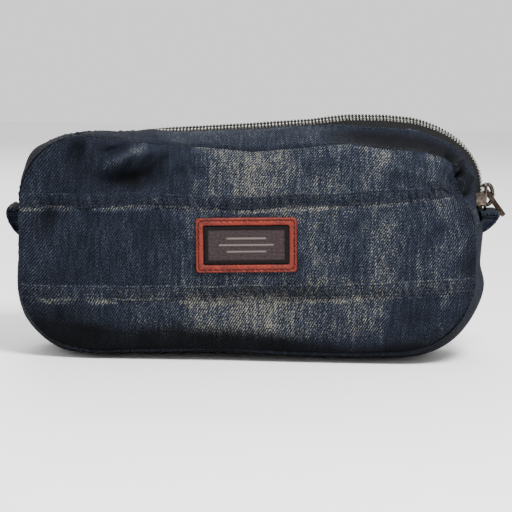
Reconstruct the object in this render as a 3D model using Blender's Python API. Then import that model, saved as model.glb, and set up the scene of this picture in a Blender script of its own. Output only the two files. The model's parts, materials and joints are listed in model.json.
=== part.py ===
"""A zipped denim pouch, standing on its flat base with its front towards -Y.

Outer shells, lining, bound seams, patch, end tabs and a metal zip with its slider and puller.
Metres, +Z up. The origin is under the middle of the pouch, on the surface it stands on.
"""

from math import asin, atan2, cos, degrees, pi, radians, sin, sqrt

import bmesh
import bpy
from mathutils import Matrix, Vector

# Driving dimensions of the pouch
HALF_WIDTH = 0.110  # from the middle to the crown of the gusset at either end
HEIGHT = 0.112  # from the base to the crown of the gusset on top
TOP_RADIUS = 0.039
BOTTOM_RADIUS = 0.042
SEAM_Y = 0.029  # the panels are sewn to the gusset this far from the middle
SEAM_INSET = 0.0075  # and this far inside the gusset's crown
BASE_FLAT = 0.020  # half the depth of the flat strip that the pouch stands on
FRONT_BULGE = 0.0050
BACK_BULGE = 0.0069
CROSS_SEAM_Z = 0.0662  # where the zip gusset meets the bottom gusset at either end

# Cloth and clearances
DENIM = 0.0016
LINING = 0.0008
TAPE = 0.0006
GAP = 0.0003
TAPE_INSET = DENIM + GAP
LINING_INSET = TAPE_INSET + TAPE + GAP
LINING_MOUTH = 0.0095  # the lining's folded edge stops this far from the zip's middle
LINING_SEAM = SEAM_Y - 0.0025  # and its other edge stops here, short of the panels' seam
LINING_EDGE = 0.0020  # the panels' lining lies this far inside the panels' own edge
BINDING_OUTER = 0.0102  # the seam bindings, measured inwards from the gusset's crown
BINDING_INNER = 0.0132
BINDING_FAR = SEAM_Y - 0.0017
BINDING_NEAR = SEAM_Y - 0.0045

# Front panel: three strips, with a felled seam over each joint
UPPER_SEAM_Z = 0.0768
LOWER_SEAM_Z = 0.0350
FELL_HEIGHT = 0.0065
FELL_THICKNESS = 0.0009

# Patch on the front
PATCH_X = -0.0026
PATCH_Z = 0.0557
PATCH_TURN = radians(-1.7)
PATCH_WIDTH = 0.0476
PATCH_HEIGHT = 0.0260
PATCH_BORDER = 0.0036
PATCH_THICKNESS = 0.0016
LABEL_THICKNESS = 0.0010

# Zip
FLAP_HALF = 0.0695  # half the length of the straight mouth
ZIP_OPENING = 0.0065  # the gusset's folded edges stop this far from the zip's middle
CHAIN_INSET = TAPE_INSET + TAPE / 2
TOOTH_PITCH = 0.0032
TOOTH_WIDTH = 0.0012
TOOTH_HALF_THICKNESS = 0.0011
TOOTH_REACH = 0.0007  # how far a tooth passes the zip's middle
TOOTH_ROOT = 0.0014
CORD_EDGE = 0.0026
TAPE_EDGE = 0.0029
TAPE_OUTER = 0.0120
ZIP_END_Z = 0.0715
STOP_FROM, STOP_TO = 0.0030, 0.0010  # the stops lie this far beyond the ends of the rows
STOP_HALF = 0.0014
STOP_NEAR = 0.0006
STOP_BEVEL = 0.0003

# Slider: it is parked at the right-hand end of the zip
SLIDER_X = 0.1070
SLIDER_Z = 0.0770
SLIDER_HALF_LENGTH = 0.0060
CHANNEL_HALF = 0.0023
PLATE = 0.0012
BRIDGE_WIDTH = 0.0022
SINK = 0.0002  # how far the slider's joined pieces reach into each other
# Half-widths of the slider's plates, and the shares of their half length where they lie
PLATE_WIDTHS = ((0.0026, 1.0), (0.0036, 0.83), (0.0038, 0.2), (0.0048, -0.35), (0.0048, -0.8), (0.0036, -1.0))
WEDGE_WIDTHS = ((0.0012, -0.0036), (0.0007, -0.0056))  # half-widths and heights of the wedge
WEDGE_TIP = -0.0010
LIP_NEAR, LIP_FAR = 0.0030, 0.0037  # the lips that guide the chain, measured from the middle
LIP_LOW, LIP_HIGH = 0.0010, 0.0045
LIP_DEPTH = 0.0009
# The bridge from the side: rises from its foot, and half lengths there
BRIDGE_ARCH = ((0.0, 0.0052), (0.0029, 0.0046), (0.0041, 0.0034))
BRIDGE_WINDOW = ((0.0, 0.0038), (0.0025, 0.0034), (0.0029, 0.0028))
PULLER_AXIS_X = SLIDER_X + CHANNEL_HALF + PLATE + 0.0014
PULLER_LEAN = radians(37)  # from hanging straight down, outwards over the tab
PULLER_LENGTH = 0.0120
PULLER_EYE = 0.0063
PULLER_HALF_WIDTH = 0.0029
PULLER_WINDOW = 0.0016  # half the eye's width
PULLER_CORNER = 0.0013
PULLER_HALF_THICKNESS = 0.0007

# End tabs
TAB_WIDTH = 0.022
TAB_LEAN = radians(20)
TAB_LENGTH = 0.0105
TAB_RETURN = 0.0062
TAB_FOLD = 0.0012
TAB_CLOTH = 0.0015
TAB_Z = 0.0575

COLOURS = {
    "denim": ((0.035, 0.050, 0.095), 0.90, 0.0),
    "dark_denim": ((0.020, 0.026, 0.045), 0.92, 0.0),
    "lining": ((0.055, 0.055, 0.062), 0.85, 0.0),
    "binding": ((0.020, 0.020, 0.024), 0.80, 0.0),
    "zip_tape": ((0.028, 0.029, 0.032), 0.85, 0.0),
    "zip_teeth": ((0.52, 0.49, 0.40), 0.35, 1.0),
    "gunmetal": ((0.21, 0.19, 0.17), 0.35, 1.0),
    "patch_leather": ((0.62, 0.15, 0.06), 0.60, 0.0),
    "label": ((0.16, 0.13, 0.14), 0.85, 0.0),
}


def clear_scene():
    for thing in list(bpy.data.objects):
        bpy.data.objects.remove(thing)


def material(node, look):
    colour, roughness, metallic = COLOURS[look]
    made = bpy.data.materials.new(node + "_" + look)
    made.use_nodes = True
    shader = made.node_tree.nodes["Principled BSDF"]
    shader.inputs["Base Color"].default_value = (*colour, 1.0)
    shader.inputs["Roughness"].default_value = roughness
    shader.inputs["Metallic"].default_value = metallic
    return made


def add_object(name, mesh, look, origin=(0, 0, 0), smooth=True):
    """Links a mesh given in world coordinates as an object with its origin at a chosen point."""
    mesh.transform(Matrix.Translation(-Vector(origin)))
    mesh.materials.append(material(name, look))
    if smooth:
        mesh.shade_smooth()
        mesh.set_sharp_from_angle(angle=radians(40))
    made = bpy.data.objects.new(name, mesh)
    made.location = origin
    bpy.context.scene.collection.objects.link(made)
    return made


def mesh_from(name, points, faces):
    mesh = bpy.data.meshes.new(name)
    mesh.from_pydata([tuple(p) for p in points], [], faces)
    shape = bmesh.new()
    shape.from_mesh(mesh)
    bmesh.ops.recalc_face_normals(shape, faces=shape.faces)
    shape.to_mesh(mesh)
    shape.free()
    return mesh


def sheet_solid(name, top, bottom, closed=False):
    """A closed solid between two grids of points, given row by row. Closed joins last row to first."""
    rows, columns = len(top), len(top[0])
    points = [p for row in top for p in row] + [p for row in bottom for p in row]
    under = rows * columns
    faces = []
    for i in range(rows if closed else rows - 1):
        here, there = i * columns, (i + 1) % rows * columns
        for j in range(columns - 1):
            quad = (here + j, there + j, there + j + 1, here + j + 1)
            faces.append(quad)
            faces.append(tuple(k + under for k in reversed(quad)))
        for j in (0, columns - 1):
            faces.append((here + j, there + j, there + j + under, here + j + under))
    if not closed:
        for start in (0, (rows - 1) * columns):
            for j in range(start, start + columns - 1):
                faces.append((j, j + 1, j + 1 + under, j + under))
    return mesh_from(name, points, faces)


def prism(name, outline, low, high, place):
    """A closed outline of (a, b) pairs drawn out from low to high. place(a, b, c) gives the point."""
    count = len(outline)
    points = [place(a, b, low) for a, b in outline] + [place(a, b, high) for a, b in outline]
    faces = [tuple(range(count)), tuple(range(count, 2 * count))]
    for k in range(count):
        after = (k + 1) % count
        faces.append((k, after, after + count, k + count))
    return mesh_from(name, points, faces)


# The gusset: frames (x, z, nx, nz) along its crown, and how far it falls away towards the seams


def arc(centre_x, centre_z, radius, start, end, steps):
    angles = [radians(start + (end - start) * k / steps) for k in range(steps + 1)]
    return [(centre_x + radius * cos(a), centre_z + radius * sin(a), cos(a), sin(a)) for a in angles]


def mirrored(frames):
    return [(-x, z, -nx, nz) for x, z, nx, nz in reversed(frames)]


def top_corner(low_z):
    """From a height on the right-hand side up and over to the end of the straight mouth."""
    climb = max(0.0, low_z - (HEIGHT - TOP_RADIUS)) / TOP_RADIUS
    start = degrees(asin(climb))
    turn = arc(HALF_WIDTH - TOP_RADIUS, HEIGHT - TOP_RADIUS, TOP_RADIUS, start, 90, 8)
    straight = [] if climb > 0 else [(HALF_WIDTH, low_z, 1, 0)]
    return straight + turn + [(FLAP_HALF + GAP, HEIGHT, 0, 1)]


def bottom_run(high_z):
    """From a height on the right-hand side down and under to the middle of the base."""
    turn = arc(HALF_WIDTH - BOTTOM_RADIUS, BOTTOM_RADIUS, BOTTOM_RADIUS, 0, -90, 8)
    right = [(HALF_WIDTH, high_z, 1, 0)] + turn
    return right + mirrored(right)


def mouth_run():
    return [(FLAP_HALF, HEIGHT, 0, 1), (-FLAP_HALF, HEIGHT, 0, 1)]


def fall(y, nz):
    """How far the gusset lies inside its crown at depth y. On the base it stays flat for longer."""
    flat = BASE_FLAT * max(0.0, -nz)
    share = max(0.0, abs(y) - flat) / (SEAM_Y - flat)
    return SEAM_INSET * share * share


def on_gusset(frame, y, inset):
    x, z, nx, nz = frame
    depth = fall(y, nz) + inset
    return (x - nx * depth, y, z - nz * depth)


def spread(low, high, count):
    return [low + (high - low) * k / (count - 1) for k in range(count)]


def gusset_band(name, frames, low_y, high_y, inset, thickness, look, columns=6, origin=(0, 0, 0)):
    depths = spread(low_y, high_y, columns)
    top = [[on_gusset(f, y, inset) for y in depths] for f in frames]
    bottom = [[on_gusset(f, y, inset + thickness) for y in depths] for f in frames]
    return add_object(name, sheet_solid(name, top, bottom), look, origin)


# The panels, sewn in round their edges and bulging between them


def seam_half_width(z, edge=0.0):
    """Half the panel's width at a height, inside its seam by edge."""
    top_r, top_z = TOP_RADIUS - SEAM_INSET - edge, HEIGHT - TOP_RADIUS
    low_r, low_z = BOTTOM_RADIUS - SEAM_INSET - edge, BOTTOM_RADIUS
    if z > top_z:
        return HALF_WIDTH - TOP_RADIUS + sqrt(max(0.0, top_r**2 - (z - top_z) ** 2))
    if z < low_z:
        return HALF_WIDTH - BOTTOM_RADIUS + sqrt(max(0.0, low_r**2 - (low_z - z) ** 2))
    return HALF_WIDTH - SEAM_INSET - edge


def panel_bulge(x, z, bulge):
    across = x / seam_half_width(z)
    middle, half = HEIGHT / 2, HEIGHT / 2 - SEAM_INSET
    up = (z - middle) / half
    return bulge * max(0.0, 1 - across**4) * max(0.0, 1 - up**4)


def panel_rows(low_z, high_z, edge):
    """Heights that follow the rounded corners closely, from low_z to high_z."""
    top_r, low_r = TOP_RADIUS - SEAM_INSET - edge, BOTTOM_RADIUS - SEAM_INSET - edge
    steps = [radians(11.25 * k) for k in range(9)]
    heights = [HEIGHT - TOP_RADIUS + top_r * sin(a) for a in steps]
    heights += [BOTTOM_RADIUS - low_r * sin(a) for a in steps]
    margin = 0.0012
    inside = [z for z in heights if low_z + margin < z < high_z - margin]
    return [low_z, *sorted(inside), high_z]


def panel_sheet(name, low_z, high_z, lift, thickness, bulge, side, look, edge=0.0, columns=15):
    """A strip of the front (side -1) or back (side 1). lift is its inner face beyond the seam."""
    top, bottom = [], []
    for z in panel_rows(low_z, high_z, edge):
        half = seam_half_width(z, edge)
        across = spread(-half, half, columns)
        inner = [SEAM_Y + lift + panel_bulge(x, z, bulge) for x in across]
        bottom.append([(x, side * y, z) for x, y in zip(across, inner)])
        top.append([(x, side * (y + thickness), z) for x, y in zip(across, inner)])
    return add_object(name, sheet_solid(name, top, bottom), look)


def make_panels():
    low, high = SEAM_INSET, HEIGHT - SEAM_INSET
    half_gap = GAP / 2
    strips = (
        ("front_strip_lower", low, LOWER_SEAM_Z - half_gap),
        ("front_strip_middle", LOWER_SEAM_Z + half_gap, UPPER_SEAM_Z - half_gap),
        ("front_strip_upper", UPPER_SEAM_Z + half_gap, high),
    )
    for name, low_z, high_z in strips:
        panel_sheet(name, low_z, high_z, 0, DENIM, FRONT_BULGE, -1, "denim")
    for name, z in (("felled_seam_lower", LOWER_SEAM_Z), ("felled_seam_upper", UPPER_SEAM_Z)):
        half = FELL_HEIGHT / 2
        lift = DENIM + GAP
        panel_sheet(name, z - half, z + half, lift, FELL_THICKNESS, FRONT_BULGE, -1, "denim", GAP)
    panel_sheet("back_panel", low, high, 0, DENIM, BACK_BULGE, 1, "denim")
    for name, bulge, side in (("lining_front", FRONT_BULGE, -1), ("lining_back", BACK_BULGE, 1)):
        edge = LINING_EDGE
        lift = -LINING - 2 * GAP
        panel_sheet(name, low + edge, high - edge, lift, LINING, bulge, side, "lining", edge)


def make_gussets():
    outer = SEAM_Y - GAP
    run = bottom_run(CROSS_SEAM_Z - GAP)
    gusset_band("bottom_gusset", run, -outer, outer, 0, DENIM, "dark_denim", 13)
    right = top_corner(CROSS_SEAM_Z)
    for hand, frames in (("right", right), ("left", mirrored(right))):
        for face, side in (("front", -1), ("back", 1)):
            name = "gusset_" + face + "_" + hand
            gusset_band(name, frames, side * ZIP_OPENING, side * outer, 0, DENIM, "denim")
            name = "lining_corner_" + face + "_" + hand
            edges = (side * LINING_MOUTH, side * LINING_SEAM)
            gusset_band(name, frames, *edges, LINING_INSET, LINING, "lining", 4)
    gusset_band("lining_bottom", run, -LINING_SEAM, LINING_SEAM, LINING_INSET, LINING, "lining", 11)
    for face, side in (("front", -1), ("back", 1)):
        hinge = (0, side * SEAM_Y, HEIGHT - SEAM_INSET)
        name = "gusset_" + face + "_mouth"
        gusset_band(name, mouth_run(), side * ZIP_OPENING, side * outer, 0, DENIM, "denim", 8, hinge)
        name = "lining_mouth_" + face
        edges = (side * LINING_MOUTH, side * LINING_SEAM)
        gusset_band(name, mouth_run(), *edges, LINING_INSET, LINING, "lining", 6, hinge)


def make_bindings():
    """The tape that binds each seam's raw edges, a closed loop just inside the lining."""
    right = arc(HALF_WIDTH - BOTTOM_RADIUS, BOTTOM_RADIUS, BOTTOM_RADIUS, -90, 0, 8)
    right += arc(HALF_WIDTH - TOP_RADIUS, HEIGHT - TOP_RADIUS, TOP_RADIUS, 0, 90, 8)
    loop = right + mirrored(right)
    outer, inner = BINDING_OUTER, BINDING_INNER
    for face, side in (("front", -1), ("back", 1)):
        name = "seam_binding_" + face
        top, bottom = [], []
        for x, z, nx, nz in loop:
            depths = [side * y for y in (BINDING_FAR, BINDING_NEAR)]
            top.append([(x - nx * outer, y, z - nz * outer) for y in depths])
            bottom.append([(x - nx * inner, y, z - nz * inner) for y in depths])
        add_object(name, sheet_solid(name, top, bottom, closed=True), "binding")


# The zip


def chain_frames(frames):
    return [(x - nx * CHAIN_INSET, z - nz * CHAIN_INSET, nx, nz) for x, z, nx, nz in frames]


def along_chain(frames, distance):
    """The point and normal at a distance along a run of frames."""
    for a, b in zip(frames, frames[1:]):
        step = sqrt((b[0] - a[0]) ** 2 + (b[1] - a[1]) ** 2)
        if distance <= step or b is frames[-1]:
            share = distance / step
            mixed = [p + (q - p) * share for p, q in zip(a, b)]
            size = sqrt(mixed[2] ** 2 + mixed[3] ** 2)
            return (mixed[0], mixed[1], mixed[2] / size, mixed[3] / size)
        distance -= step
    return frames[-1]


def run_length(frames):
    return sum(sqrt((b[0] - a[0]) ** 2 + (b[1] - a[1]) ** 2) for a, b in zip(frames, frames[1:]))


def teeth_row(name, frames, side, offset, origin=(0, 0, 0)):
    """A row of teeth standing on its cord. offset is the first tooth's place along the run."""
    total = run_length(frames)
    marks, place = [0.0], offset
    while place + TOOTH_WIDTH < total:
        marks += [place, place + TOOTH_WIDTH]
        place += TOOTH_PITCH
    marks.append(total)
    points, faces, rows = [], [], []

    def add(distance, y):
        """The upper and lower point at a distance along the run, and the place of the first."""
        x, z, nx, nz = along_chain(frames, distance)
        lift = TOOTH_HALF_THICKNESS
        points.append((x + nx * lift, side * y, z + nz * lift))
        points.append((x - nx * lift, side * y, z - nz * lift))
        return len(points) - 2

    for distance in marks:
        rows.append((add(distance, CORD_EDGE), add(distance, TOOTH_ROOT)))
    for k, ((edge, root), (next_edge, next_root)) in enumerate(zip(rows, rows[1:])):
        faces.append((edge, next_edge, next_root, root))
        faces.append((edge + 1, root + 1, next_root + 1, next_edge + 1))
        faces.append((edge, edge + 1, next_edge + 1, next_edge))
        if k % 2 == 0:
            faces.append((root, next_root, next_root + 1, root + 1))
            continue
        tip, next_tip = add(marks[k], -TOOTH_REACH), add(marks[k + 1], -TOOTH_REACH)
        faces.append((root, next_root, next_tip, tip))
        faces.append((root + 1, tip + 1, next_tip + 1, next_root + 1))
        faces.append((tip, next_tip, next_tip + 1, tip + 1))
        faces.append((root, tip, tip + 1, root + 1))
        faces.append((next_root, next_root + 1, next_tip + 1, next_tip))
    for edge, root in (rows[0], rows[-1]):
        faces.append((edge, root, root + 1, edge + 1))
    return add_object(name, mesh_from(name, points, faces), "zip_teeth", origin, smooth=False)


def make_zip():
    right = top_corner(ZIP_END_Z)
    parked = top_corner(SLIDER_Z)
    runs = (
        ("right", chain_frames(parked)),
        ("left", chain_frames(mirrored(right))),
        ("mouth", chain_frames(mouth_run())),
    )
    for face, side in (("front", -1), ("back", 1)):
        hinge = (0, side * SEAM_Y, HEIGHT - SEAM_INSET)
        for hand, frames in runs:
            own = hinge if hand == "mouth" else (0, 0, 0)
            first = GAP if side < 0 else GAP + TOOTH_PITCH / 2
            teeth_row("zip_teeth_" + face + "_" + hand, frames, side, first, own)
        edges = (side * TAPE_EDGE, side * TAPE_OUTER)
        for hand, frames in (("right", right), ("left", mirrored(right))):
            name = "zip_tape_" + face + "_" + hand
            gusset_band(name, frames, *edges, TAPE_INSET, TAPE, "zip_tape", 4)
        name = "zip_tape_" + face + "_mouth"
        gusset_band(name, mouth_run(), *edges, TAPE_INSET, TAPE, "zip_tape", 4, hinge)
    make_stops()


def block(name, low, high, look, bevel):
    """A box between two corners with its edges rounded off."""
    shape = bmesh.new()
    bmesh.ops.create_cube(shape, size=1)
    size = [h - l for l, h in zip(low, high)]
    middle = [(h + l) / 2 for l, h in zip(low, high)]
    bmesh.ops.scale(shape, vec=size, verts=shape.verts)
    bmesh.ops.translate(shape, vec=middle, verts=shape.verts)
    bmesh.ops.bevel(shape, geom=shape.edges, offset=bevel, segments=1, affect="EDGES")
    mesh = bpy.data.meshes.new(name)
    shape.to_mesh(mesh)
    shape.free()
    return add_object(name, mesh, look, smooth=False)


def make_stops():
    """Two clamps end the rows beside the parked slider, and one bar joins them at the far end."""
    chain_x = HALF_WIDTH - CHAIN_INSET
    low, high = ZIP_END_Z - STOP_FROM, ZIP_END_Z - STOP_TO
    thick = STOP_HALF
    for face, side in (("front", -1), ("back", 1)):
        near, far = sorted((side * STOP_NEAR, side * CORD_EDGE))
        corner = (chain_x - thick, near, low)
        block("zip_stop_" + face, corner, (chain_x + thick, far, high), "zip_teeth", STOP_BEVEL)
    corner = (-chain_x - thick, -CORD_EDGE, low)
    block("zip_stop_end", corner, (-chain_x + thick, CORD_EDGE, high), "zip_teeth", STOP_BEVEL)


# The slider and its puller


def slider_outline():
    """Half-widths down the slider: narrow where the closed chain leaves it, wide at its mouths."""
    right = [(width, share * SLIDER_HALF_LENGTH) for width, share in PLATE_WIDTHS]
    return right + [(-y, z) for y, z in reversed(right)]


def slider_piece(name, outline, low_x, high_x):
    def place(a, b, c):
        return (SLIDER_X + c, a, SLIDER_Z + b)

    return prism(name, outline, low_x, high_x, place)


def bridge_outline():
    """The arch that the puller hangs on, seen from the side: its outer line, then its window."""
    foot = CHANNEL_HALF + PLATE - SINK
    above = [(foot + rise, z) for rise, z in BRIDGE_ARCH]
    below = [(x, -z) for x, z in reversed(above)]
    forth = [(foot + rise, z) for rise, z in reversed(BRIDGE_WINDOW)]
    back = [(x, -z) for x, z in reversed(forth)]
    return above + below + back + forth


def make_slider():
    wall, plate = CHANNEL_HALF, PLATE
    pivot = (SLIDER_X, 0, SLIDER_Z)
    body = slider_piece("slider_body", slider_outline(), -wall - plate, -wall)
    slider = add_object("slider_body", body, "gunmetal", pivot)
    pieces = [slider_piece("slider_outer_plate", slider_outline(), wall, wall + plate)]
    wedge = [(0, WEDGE_TIP), *WEDGE_WIDTHS]
    wedge += [(-y, z) for y, z in reversed(WEDGE_WIDTHS)]
    pieces.append(slider_piece("slider_wedge", wedge, -wall - 2 * SINK, wall + 2 * SINK))
    for side in (-1, 1):
        near, far = side * LIP_NEAR, side * LIP_FAR
        edge = [(near, LIP_HIGH), (far, LIP_HIGH), (far, LIP_LOW), (near, LIP_LOW)]
        for low, high in ((-wall - SINK, -wall + LIP_DEPTH), (wall - LIP_DEPTH, wall + SINK)):
            pieces.append(slider_piece("slider_lip", edge, low, high))

    def across(a, b, c):
        return (SLIDER_X + a, c, SLIDER_Z + b)

    half = BRIDGE_WIDTH / 2
    pieces.append(prism("slider_bridge", bridge_outline(), -half, half, across))
    for mesh in pieces:
        tool = add_object("join_" + mesh.name, mesh, "gunmetal", pivot)
        tool.hide_render = True
        tool.display_type = "WIRE"
        join = slider.modifiers.new("join_" + mesh.name, "BOOLEAN")
        join.operation = "UNION"
        join.solver = "EXACT"
        join.object = tool


def make_puller():
    """A flat tag whose eye goes round the slider's bridge. It leans outwards over the end tab."""
    bar, half, eye = PULLER_HALF_THICKNESS, PULLER_HALF_WIDTH, PULLER_EYE
    pivot = Vector((PULLER_AXIS_X, 0, SLIDER_Z))
    down = Vector((sin(PULLER_LEAN), 0, -cos(PULLER_LEAN)))
    thick = Vector((cos(PULLER_LEAN), 0, sin(PULLER_LEAN)))

    def place(a, b, c):
        return pivot + down * b + Vector((0, a, 0)) + thick * c

    end = PULLER_LENGTH
    corner, window = PULLER_CORNER, PULLER_WINDOW
    outer = [(-half, -bar), (half, -bar), (half, end - corner), (half - corner, end)]
    outer += [(-half + corner, end), (-half, end - corner)]
    inner = [(-window, bar), (window, bar), (window, eye), (-window, eye)]
    mesh = framed_prism("puller", outer, inner, PULLER_HALF_THICKNESS, place)
    add_object("puller", mesh, "gunmetal", pivot, smooth=False)


def framed_prism(name, outer, inner, half, place):
    """A plate of the outer outline with the inner outline cut through it."""
    shape = bmesh.new()
    loops = []
    for outline in (outer, inner):
        made = [shape.verts.new(place(a, b, -half)) for a, b in outline]
        edges = [shape.edges.new((p, q)) for p, q in zip(made, made[1:] + made[:1])]
        loops += edges
    filled = bmesh.ops.triangle_fill(shape, edges=loops, use_beauty=True)
    faces = [f for f in filled["geom"] if isinstance(f, bmesh.types.BMFace)]
    grown = bmesh.ops.extrude_face_region(shape, geom=faces)
    lift = Vector(place(0, 0, half)) - Vector(place(0, 0, -half))
    raised = [v for v in grown["geom"] if isinstance(v, bmesh.types.BMVert)]
    bmesh.ops.translate(shape, vec=lift, verts=raised)
    bmesh.ops.recalc_face_normals(shape, faces=shape.faces)
    mesh = bpy.data.meshes.new(name)
    shape.to_mesh(mesh)
    shape.free()
    return mesh


# Trim


def make_patch():
    """A leather frame with a woven label inside it, turned a little on the front panel."""
    face = -(SEAM_Y + DENIM + FRONT_BULGE + GAP)

    def place(a, b, c):
        x = a * cos(PATCH_TURN) + b * sin(PATCH_TURN)
        z = -a * sin(PATCH_TURN) + b * cos(PATCH_TURN)
        return (PATCH_X + x, c, PATCH_Z + z)

    def rectangle(width, height):
        half_w, half_h = width / 2, height / 2
        return [(-half_w, -half_h), (half_w, -half_h), (half_w, half_h), (-half_w, half_h)]

    window = (PATCH_WIDTH - 2 * PATCH_BORDER, PATCH_HEIGHT - 2 * PATCH_BORDER)
    label = rectangle(window[0] - 2 * GAP, window[1] - 2 * GAP)
    mesh = prism("patch_label", label, face - LABEL_THICKNESS, face, place)
    add_object("patch_label", mesh, "label", smooth=False)
    middle = face - PATCH_THICKNESS / 2

    def frame_place(a, b, c):
        return place(a, b, middle + c)

    outer = rectangle(PATCH_WIDTH, PATCH_HEIGHT)
    mesh = framed_prism("patch_frame", outer, rectangle(*window), PATCH_THICKNESS / 2, frame_place)
    add_object("patch_frame", mesh, "patch_leather", smooth=False)


def ribbon(line, thickness):
    """The outline of a strip of cloth seen edge-on, that follows a line of points."""
    left, right = [], []
    for k, (x, z) in enumerate(line):
        before, after = line[max(k - 1, 0)], line[min(k + 1, len(line) - 1)]
        heading = atan2(after[1] - before[1], after[0] - before[0])
        aside = (-sin(heading) * thickness / 2, cos(heading) * thickness / 2)
        left.append((x + aside[0], z + aside[1]))
        right.append((x - aside[0], z - aside[1]))
    return left + right[::-1]


def make_tabs():
    """A folded strip of cloth over each end of the zip, open along its lower side."""
    fold = [TAB_FOLD * cos(pi * k / 6) for k in range(7)]
    rise = [TAB_LENGTH + TAB_FOLD * sin(pi * k / 6) for k in range(7)]
    line = [(TAB_FOLD, 0.0), *zip(fold, rise), (-TAB_FOLD, TAB_LENGTH - TAB_RETURN)]
    shape = ribbon(line, TAB_CLOTH)
    base_x = HALF_WIDTH + 2 * GAP

    def leaned(u, w):
        """From across and along the tab to x and z."""
        x = base_x + u * cos(TAB_LEAN) + w * sin(TAB_LEAN)
        return (x, TAB_Z - u * sin(TAB_LEAN) + w * cos(TAB_LEAN))

    for hand, side in (("right", 1), ("left", -1)):

        def place(a, b, c, side=side):
            x, z = leaned(a, b)
            return (side * x, c, z)

        name = "end_tab_" + hand
        mesh = prism(name, shape, -TAB_WIDTH / 2, TAB_WIDTH / 2, place)
        add_object(name, mesh, "dark_denim")


def main():
    clear_scene()
    make_panels()
    make_gussets()
    make_bindings()
    make_zip()
    make_slider()
    make_puller()
    make_patch()
    make_tabs()


main()
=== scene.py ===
"""The looks of the zipped denim pouch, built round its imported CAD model."""

import json
from math import cos, pi, radians, sin

import bmesh
import bpy
import numpy as np
from mathutils import Matrix, Vector


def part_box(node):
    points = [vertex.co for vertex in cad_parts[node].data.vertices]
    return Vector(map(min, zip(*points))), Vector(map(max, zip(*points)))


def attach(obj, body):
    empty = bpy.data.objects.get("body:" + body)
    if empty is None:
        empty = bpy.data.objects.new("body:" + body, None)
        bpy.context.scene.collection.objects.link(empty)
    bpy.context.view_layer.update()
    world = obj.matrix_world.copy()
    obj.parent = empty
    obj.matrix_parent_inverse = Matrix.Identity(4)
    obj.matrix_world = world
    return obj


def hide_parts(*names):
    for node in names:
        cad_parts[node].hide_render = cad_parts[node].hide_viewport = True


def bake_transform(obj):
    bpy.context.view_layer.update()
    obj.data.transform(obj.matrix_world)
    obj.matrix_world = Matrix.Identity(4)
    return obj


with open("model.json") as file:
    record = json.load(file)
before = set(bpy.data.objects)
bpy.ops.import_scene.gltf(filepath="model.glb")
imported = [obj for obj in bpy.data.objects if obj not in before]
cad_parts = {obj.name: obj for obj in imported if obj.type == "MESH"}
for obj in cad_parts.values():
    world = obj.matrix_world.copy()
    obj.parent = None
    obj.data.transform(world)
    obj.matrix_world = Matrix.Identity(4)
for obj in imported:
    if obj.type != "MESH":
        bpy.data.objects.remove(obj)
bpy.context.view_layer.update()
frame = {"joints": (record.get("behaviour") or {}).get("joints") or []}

MM = 0.001  # shapes are worked out in millimetres and written in metres

# ---- Sizes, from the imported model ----

JOINTS = {j["name"]: j for j in frame["joints"]}


def node_box(node):
    low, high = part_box(node)
    return np.array(low) / MM, np.array(high) / MM


HALF_WIDTH = node_box("bottom_gusset")[1][0]
MOUTH_HIGH = node_box("gusset_front_mouth")[1]
HEIGHT = round(MOUTH_HIGH[2] + 0.5)
SEAM_Y = -JOINTS["mouth_front_open"]["pos_m"][1] / MM
SEAM_INSET = HEIGHT - JOINTS["mouth_front_open"]["pos_m"][2] / MM
SEAM_ALLOWANCE = 1.6
FRONT_FACE = -node_box("patch_frame")[1][1]  # how far the front stands out under the patch
BACK_FACE = node_box("back_panel")[1][1]
PIVOT = np.array(JOINTS["puller_swing"]["pos_m"]) / MM
SLIDER_LOW, SLIDER_HIGH = node_box("slider_body")
TOP_RADIUS = 39.0
BOTTOM_RADIUS = 42.0
BACK_REST = 20.0  # the base leaves the floor this far behind the middle
FRONT_REST = 6.0  # and this far in front of it
CROSS_SEAM_Z = 66.2
MIDDLE_Z = HEIGHT / 2
CENTRE = np.array([0, 0, MIDDLE_Z])
MOUTH_SPLIT = -18.0  # a seam across the zip gusset, where its two halves meet
CLOTH = 1.2  # thickness of the denim
LINING = 0.6
TAPE = 0.5
PANEL_STEP = 0.95  # spacing of the front panel's points
LINING_INSET = 2.9
LINING_EDGE = 9.5  # the lining ends this far from the zip's middle
BINDING_INSET = 4.6
TAPE_INNER, TAPE_OUTER = 1.2, 11.0  # the tape's two edges, from the zip's middle
FOLD_Y = 5.4  # the folded edges of the gusset stand this far from the zip's middle

# ---- Numbers: smooth steps, hills and noise ----


def smooth(low, high, value):
    t = np.clip((np.asarray(value, float) - low) / (high - low), 0.0, 1.0)
    return t * t * (3 - 2 * t)


def bell(value, at, width):
    """1 where value is at, and falling smoothly to 0 on both sides."""
    return np.exp(-(((value - at) / width) ** 2))


def hill(x, z, at_x, at_z, long, short, turn):
    """A hill of height 1, with its length turned from +X by an angle in degrees."""
    c, s = cos(radians(turn)), sin(radians(turn))
    along = (x - at_x) * c + (z - at_z) * s
    across = (z - at_z) * c - (x - at_x) * s
    return bell(along, 0, long) * bell(across, 0, short)


def noise(x, z, cell, seed):
    """Smooth noise from -1 to 1, with features the size of a cell."""
    table = np.random.RandomState(seed).rand(64, 64) * 2 - 1
    gx, gz = np.broadcast_arrays(np.asarray(x, float) / cell, np.asarray(z, float) / cell)
    ix, iz = np.floor(gx).astype(int), np.floor(gz).astype(int)
    fx, fz = gx - ix, gz - iz
    fx, fz = fx * fx * (3 - 2 * fx), fz * fz * (3 - 2 * fz)

    def at(i, j):
        return table[i % 64, j % 64]

    low = at(ix, iz) * (1 - fx) + at(ix + 1, iz) * fx
    high = at(ix, iz + 1) * (1 - fx) + at(ix + 1, iz + 1) * fx
    return low * (1 - fz) + high * fz


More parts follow.
